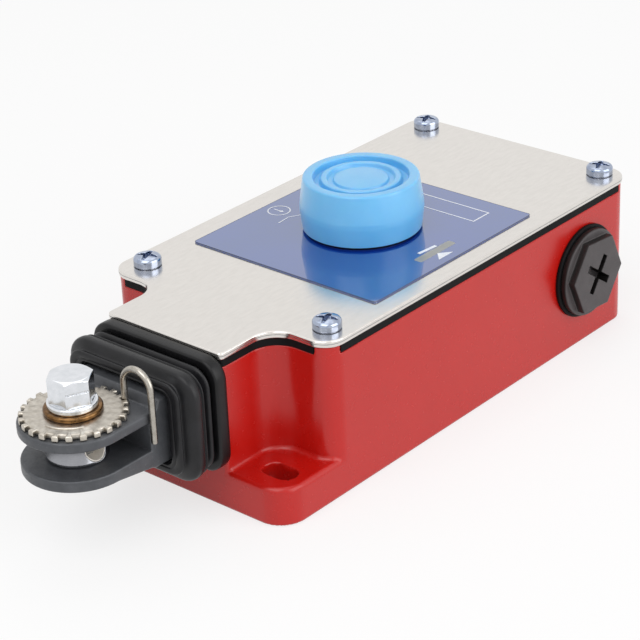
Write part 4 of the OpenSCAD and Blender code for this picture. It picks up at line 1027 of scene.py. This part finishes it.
def makeSpindle(shape):
    low, high = boxOf("spindle")
    centre = (low + high) / 2
    clip = boxOf("spindle_circlip")
    hexLow = high[2] - shape["hexHeight"]
    collarLow = hexLow - shape["collarThick"]
    flat = shape["across"] / 2
    tip = flat / math.cos(math.pi / 6)
    faces = [math.radians(shape["turn"] + 60 * k) for k in range(3)]
    ink = math.radians(shape["lineTurn"])

    def field(x, y, z):
        px, py = x - centre[0], y - centre[1]
        radial = np.hypot(px, py)
        sides = [np.abs(px * math.cos(t) + py * math.sin(t)) - flat for t in faces]
        prism = overlap(overlap(sides[0], sides[1], 0.25), sides[2], 0.25)
        head = slab(prism, z, hexLow, high[2], 0.2)
        cone = (radial - tip + 1.15 + (z - high[2]) * 1.9) / 2.15
        head = overlap(head, cone, 0.15)
        out, aside = px * math.cos(ink) + py * math.sin(ink), px * math.sin(ink) - py * math.cos(ink)
        line = np.maximum(np.abs(z - hexLow - shape["line"] * shape["hexHeight"]) - shape["lineWide"] / 2 + 0 * out,
                          np.maximum(flat - shape["lineDeep"] - out, np.abs(aside) - 3))
        head = cut(head, line, 0.1)
        body = np.minimum(head, slab(radial - shape["collar"], z, collarLow, hexLow + 0.2, 0.35))
        body = np.minimum(body, slab(radial - shape["shaft"], z, low[2], hexLow, 0.4))
        ring = slab(shape["shaft"] - shape["groove"] - radial, z, clip[0][2], clip[1][2])
        body = cut(body, np.maximum(ring, radial - shape["shaft"] - 1), 0.05)
        return cut(body, np.hypot(px, z - shape["ropeAt"]) - shape["ropeHole"] + 0 * y, 0.2)

    return solid("tensionSpindle", field, low, high, shape["voxel"], 0.01)


def makeDrum(shape):  # the waisted drum on the spindle, and a near-white sleeve in its rope hole as painted light
    low, high = boxOf("spindle")
    centre = (low + high) / 2
    dish = shape["drum"] - shape["waist"]
    bend = ((shape["gapHigh"] - shape["gapLow"] - 1.8) ** 2 / 4 + dish ** 2) / (2 * dish)

    def barrel(x, y, z):
        radial = np.hypot(x - centre[0], y - centre[1])
        drum = slab(radial - shape["drum"], z, shape["gapLow"] + 0.2, shape["gapHigh"] - 0.2, 0.3)
        return np.maximum(drum, bend - np.hypot(radial - shape["waist"] - bend, z - shape["ropeAt"]))

    def hole(x, z):
        return np.hypot(x - centre[0], z - shape["ropeAt"]) - shape["ropeHole"]

    def drum(x, y, z):
        core = shape["shaft"] - 0.1 - np.hypot(x - centre[0], y - centre[1])
        return np.maximum(cut(barrel(x, y, z), hole(x, z) - shape["sleeve"] + 0 * y, 0.2), core + 0 * z)

    def sleeve(x, y, z):
        tube = np.abs(hole(x, z) - shape["sleeve"] / 2) - shape["sleeve"] / 2
        return overlap(barrel(x, y, z) + 0.12, tube + 0 * y, 0.1)

    ends = np.array([shape["drum"], shape["drum"], 0])
    low, high = centre - ends, centre + ends
    low[2], high[2] = shape["gapLow"], shape["gapHigh"]
    return [solid(name, made, low, high, shape["voxel"], 0.01) for name, made in (("ropeDrum", drum),
                                                                                ("litHoleSleeve", sleeve))]


dress(makeSpindle(spindleShape), "brightZinc", "bright_zinc", "drum", "spindle")
ropeDrum, litHoleSleeve = makeDrum(spindleShape)
dress(ropeDrum, "greyOxide", "plain_steel", "drum")
# the sleeve's near-white finish is painted light that makes the rope hole read bright
dress(litHoleSleeve, "litHoleLining", "white_plastic", "drum")
print("drum ready")

# Locking clip
clipShape = {"wire": 1.8, "seat": 35.0, "steps": 24}


def makeClip(shape):
    low, high = boxOf("clip")
    x, half = (low[0] + high[0]) / 2, shape["wire"] / 2
    outer, inner = low[1] + half, high[1] - half
    radius = (inner - outer) / 2
    middle, springs = (outer + inner) / 2, high[2] - half - radius
    path = [(x, outer, low[2] + 0.3), (x, outer, low[2] + 6), (x, outer, springs - 3)]
    for k in range(shape["steps"] + 1):
        turn = math.pi * (1 - k / shape["steps"])
        path.append((x, middle + radius * math.cos(turn), springs + radius * math.sin(turn)))
    path += [(x, inner, springs - 2), (x, inner, shape["seat"])]
    line = meshPiece("clipLine", path, [])
    line.data.edges.add(len(path) - 1)
    line.data.edges.foreach_set("vertices", [v for k in range(len(path) - 1) for v in (k, k + 1)])
    wire = runTree("lockingClip", line, wireTree, {"Wire": half * mm, "Finish": paint["drawnWire"]})
    rounded = wire.modifiers.new("endEdges", "BEVEL")
    rounded.limit_method, rounded.angle_limit = "ANGLE", math.radians(60)
    rounded.width, rounded.segments = 0.35 * mm, 3
    bpy.context.view_layer.update()
    return smooth(settle("lockingClip", wire), 40)


dress(makeClip(clipShape), "drawnWire", "spring_wire", "wire_clip", "clip")
print("clip ready")


# Blanking plugs and their seals
plugShape = {"flange": 13.5, "across": 21.6, "hexHeight": 2.4, "vertexTurn": -5, "slotTurn": 35, "slot": (12.4, 2.2),
             "slotDepth": 4, "shank": 9.2, "reach": 7, "voxel": 0.26}


def makePlug(shape, side):  # side is -1 for the near wall and 1 for the far wall
    low, high = boxOf("blanking_plugs")
    wall, sealHigh = boxOf("housing")[1][1], boxOf("plug_seals")[1][1]
    x0, z0, face = (low[0] + high[0]) / 2, (low[2] + high[2]) / 2, high[1]
    hexY, flangeY = face - shape["hexHeight"], sealHigh
    flat = shape["across"] / 2

    def field(x, y, z):
        px, pz, out = (x - x0), z - z0, y * side
        radial = np.hypot(px, pz)
        prism = -9.0
        for k in range(3):
            turn = math.radians(shape["vertexTurn"] + 30 + 60 * k)
            prism = np.maximum(prism, np.abs(px * math.cos(turn) + pz * math.sin(turn)) - flat)
        head = slab(prism, out, hexY - 1, face, 0.35)
        rim = slab(radial - shape["flange"], out, flangeY, hexY, 0.6)
        shank = slab(radial - shape["shank"], out, wall - shape["reach"], flangeY + 0.5, 0.5)
        body = np.minimum(join(head, rim, 0.3), shank)
        turn = math.radians(shape["slotTurn"])
        a, b = px * math.sin(turn) + pz * math.cos(turn), px * math.cos(turn) - pz * math.sin(turn)
        long, wide = shape["slot"][0] / 2, shape["slot"][1] / 2
        cross = np.minimum(rectGap(a, b, long, wide, 0.15), rectGap(b, a, long, wide, 0.15))
        body = cut(body, np.maximum(cross, face - shape["slotDepth"] - out), 0.12)
        return cut(body, slab(radial - shape["shank"] + 2, out, 20, flangeY - 1, 0.5), 0.3)

    ends = sorted((side * (wall - shape["reach"]), side * face))
    return solid("blankingPlug", field, (low[0], ends[0], low[2]), (high[0], ends[1], high[2]), shape["voxel"], 0.01)


def makeSeal(side):
    low, high = boxOf("plug_seals")
    x0, z0, wall = (low[0] + high[0]) / 2, (low[2] + high[2]) / 2, boxOf("housing")[1][1]
    outer = (high[0] - low[0]) / 2

    def field(x, y, z):
        radial, out = np.hypot(x - x0, z - z0), y * side
        ring = slab(np.abs(radial - (outer + 9.2) / 2) - (outer - 9.2) / 2, out, wall, high[1], 0.4)
        return ring

    ends = sorted((side * wall, side * high[1]))
    return solid("plugSeal", field, (low[0], ends[0], low[2]), (high[0], ends[1], high[2]), 0.3, 0.01)


dress(merge("blankingPlugs", [makePlug(plugShape, side) for side in (-1, 1)]), "charcoalNylon", "plug_plastic",
      "base", "blanking_plugs")
dress(merge("plugSeals", [makeSeal(side) for side in (-1, 1)]), "gasketSheet", "black_rubber", "base",
      "plug_seals")
print("plugs ready")

# Springs
springShapes = {"main_spring": {"name": "mainSpring", "wire": 2.0, "turns": 7, "tilt": (0, 90, 0)},
                "reset_spring": {"name": "resetSpring", "wire": 1.2, "turns": 5, "tilt": (0, 0, 0)}}


def makeSpring(node, shape):
    low, high = boxOf(node)
    along = 0 if shape["tilt"][1] else 2
    across = 2 if along == 0 else 0
    centre = (low + high) / 2
    half, length = shape["wire"] / 2, high[along] - low[along]
    centre[along] = low[along] + half
    seed = meshPiece(shape["name"] + "Seed", [(0, 0, 0)], [])
    return smooth(runTree(shape["name"], seed, coilTree, {
        "Radius": float((high[across] - low[across]) / 2 - half) * mm, "Wire": half * mm,
        "Height": float(length - shape["wire"]) * mm, "Turns": float(shape["turns"]),
        "Centre": tuple(float(v) * mm for v in centre), "Tilt": tuple(math.radians(v) for v in shape["tilt"]),
        "Finish": paint["drawnWire"]}), 60)


for node, other in (("main_spring", "slider"), ("reset_spring", "reset")):
    low, high = boxOf(node)
    end = low.copy()
    axis = 0 if springShapes[node]["tilt"][1] else 2
    end[axis] = high[axis]
    dressBetween(makeSpring(node, springShapes[node]), "drawnWire", node)
print("springs ready")

# Finishes of the nodes that keep their own shape
kept = {"cover_gasket": "gasketSheet", "tension_window": "clearPane", "guide_bush": "oiledBronze",
        "button_barrel": "blackMoulding", "barrel_nut": "brightZinc", "reset_cap": "whiteAcetal",
        "reset_stem": "turnedSteel", "pull_rod": "turnedSteel", "fork_pin": "turnedSteel",
        "spring_washer": "turnedSteel", "rod_circlip": "turnedSteel", "cam_carriage": "whiteAcetal",
        "rod_nuts": "brightZinc", "tension_flag": "whiteAcetal", "spindle_circlip": "turnedSteel",
        "latch_brackets": "turnedSteel", "bracket_screws": "brightZinc", "latch_pin": "turnedSteel",
        "latch_spring": "drawnWire", "reset_latch": "turnedSteel", "contact_blocks": "darkThermoset",
        "contact_screws": "brightZinc", "terminal_screws": "terminalBrass", "contact_plungers": "whiteAcetal",
        "earth_screw": "terminalBrass"}
for node, finish in kept.items():
    nodes[node].data.materials.clear()
    nodes[node].data.materials.append(paint[finish])

print("model ready")
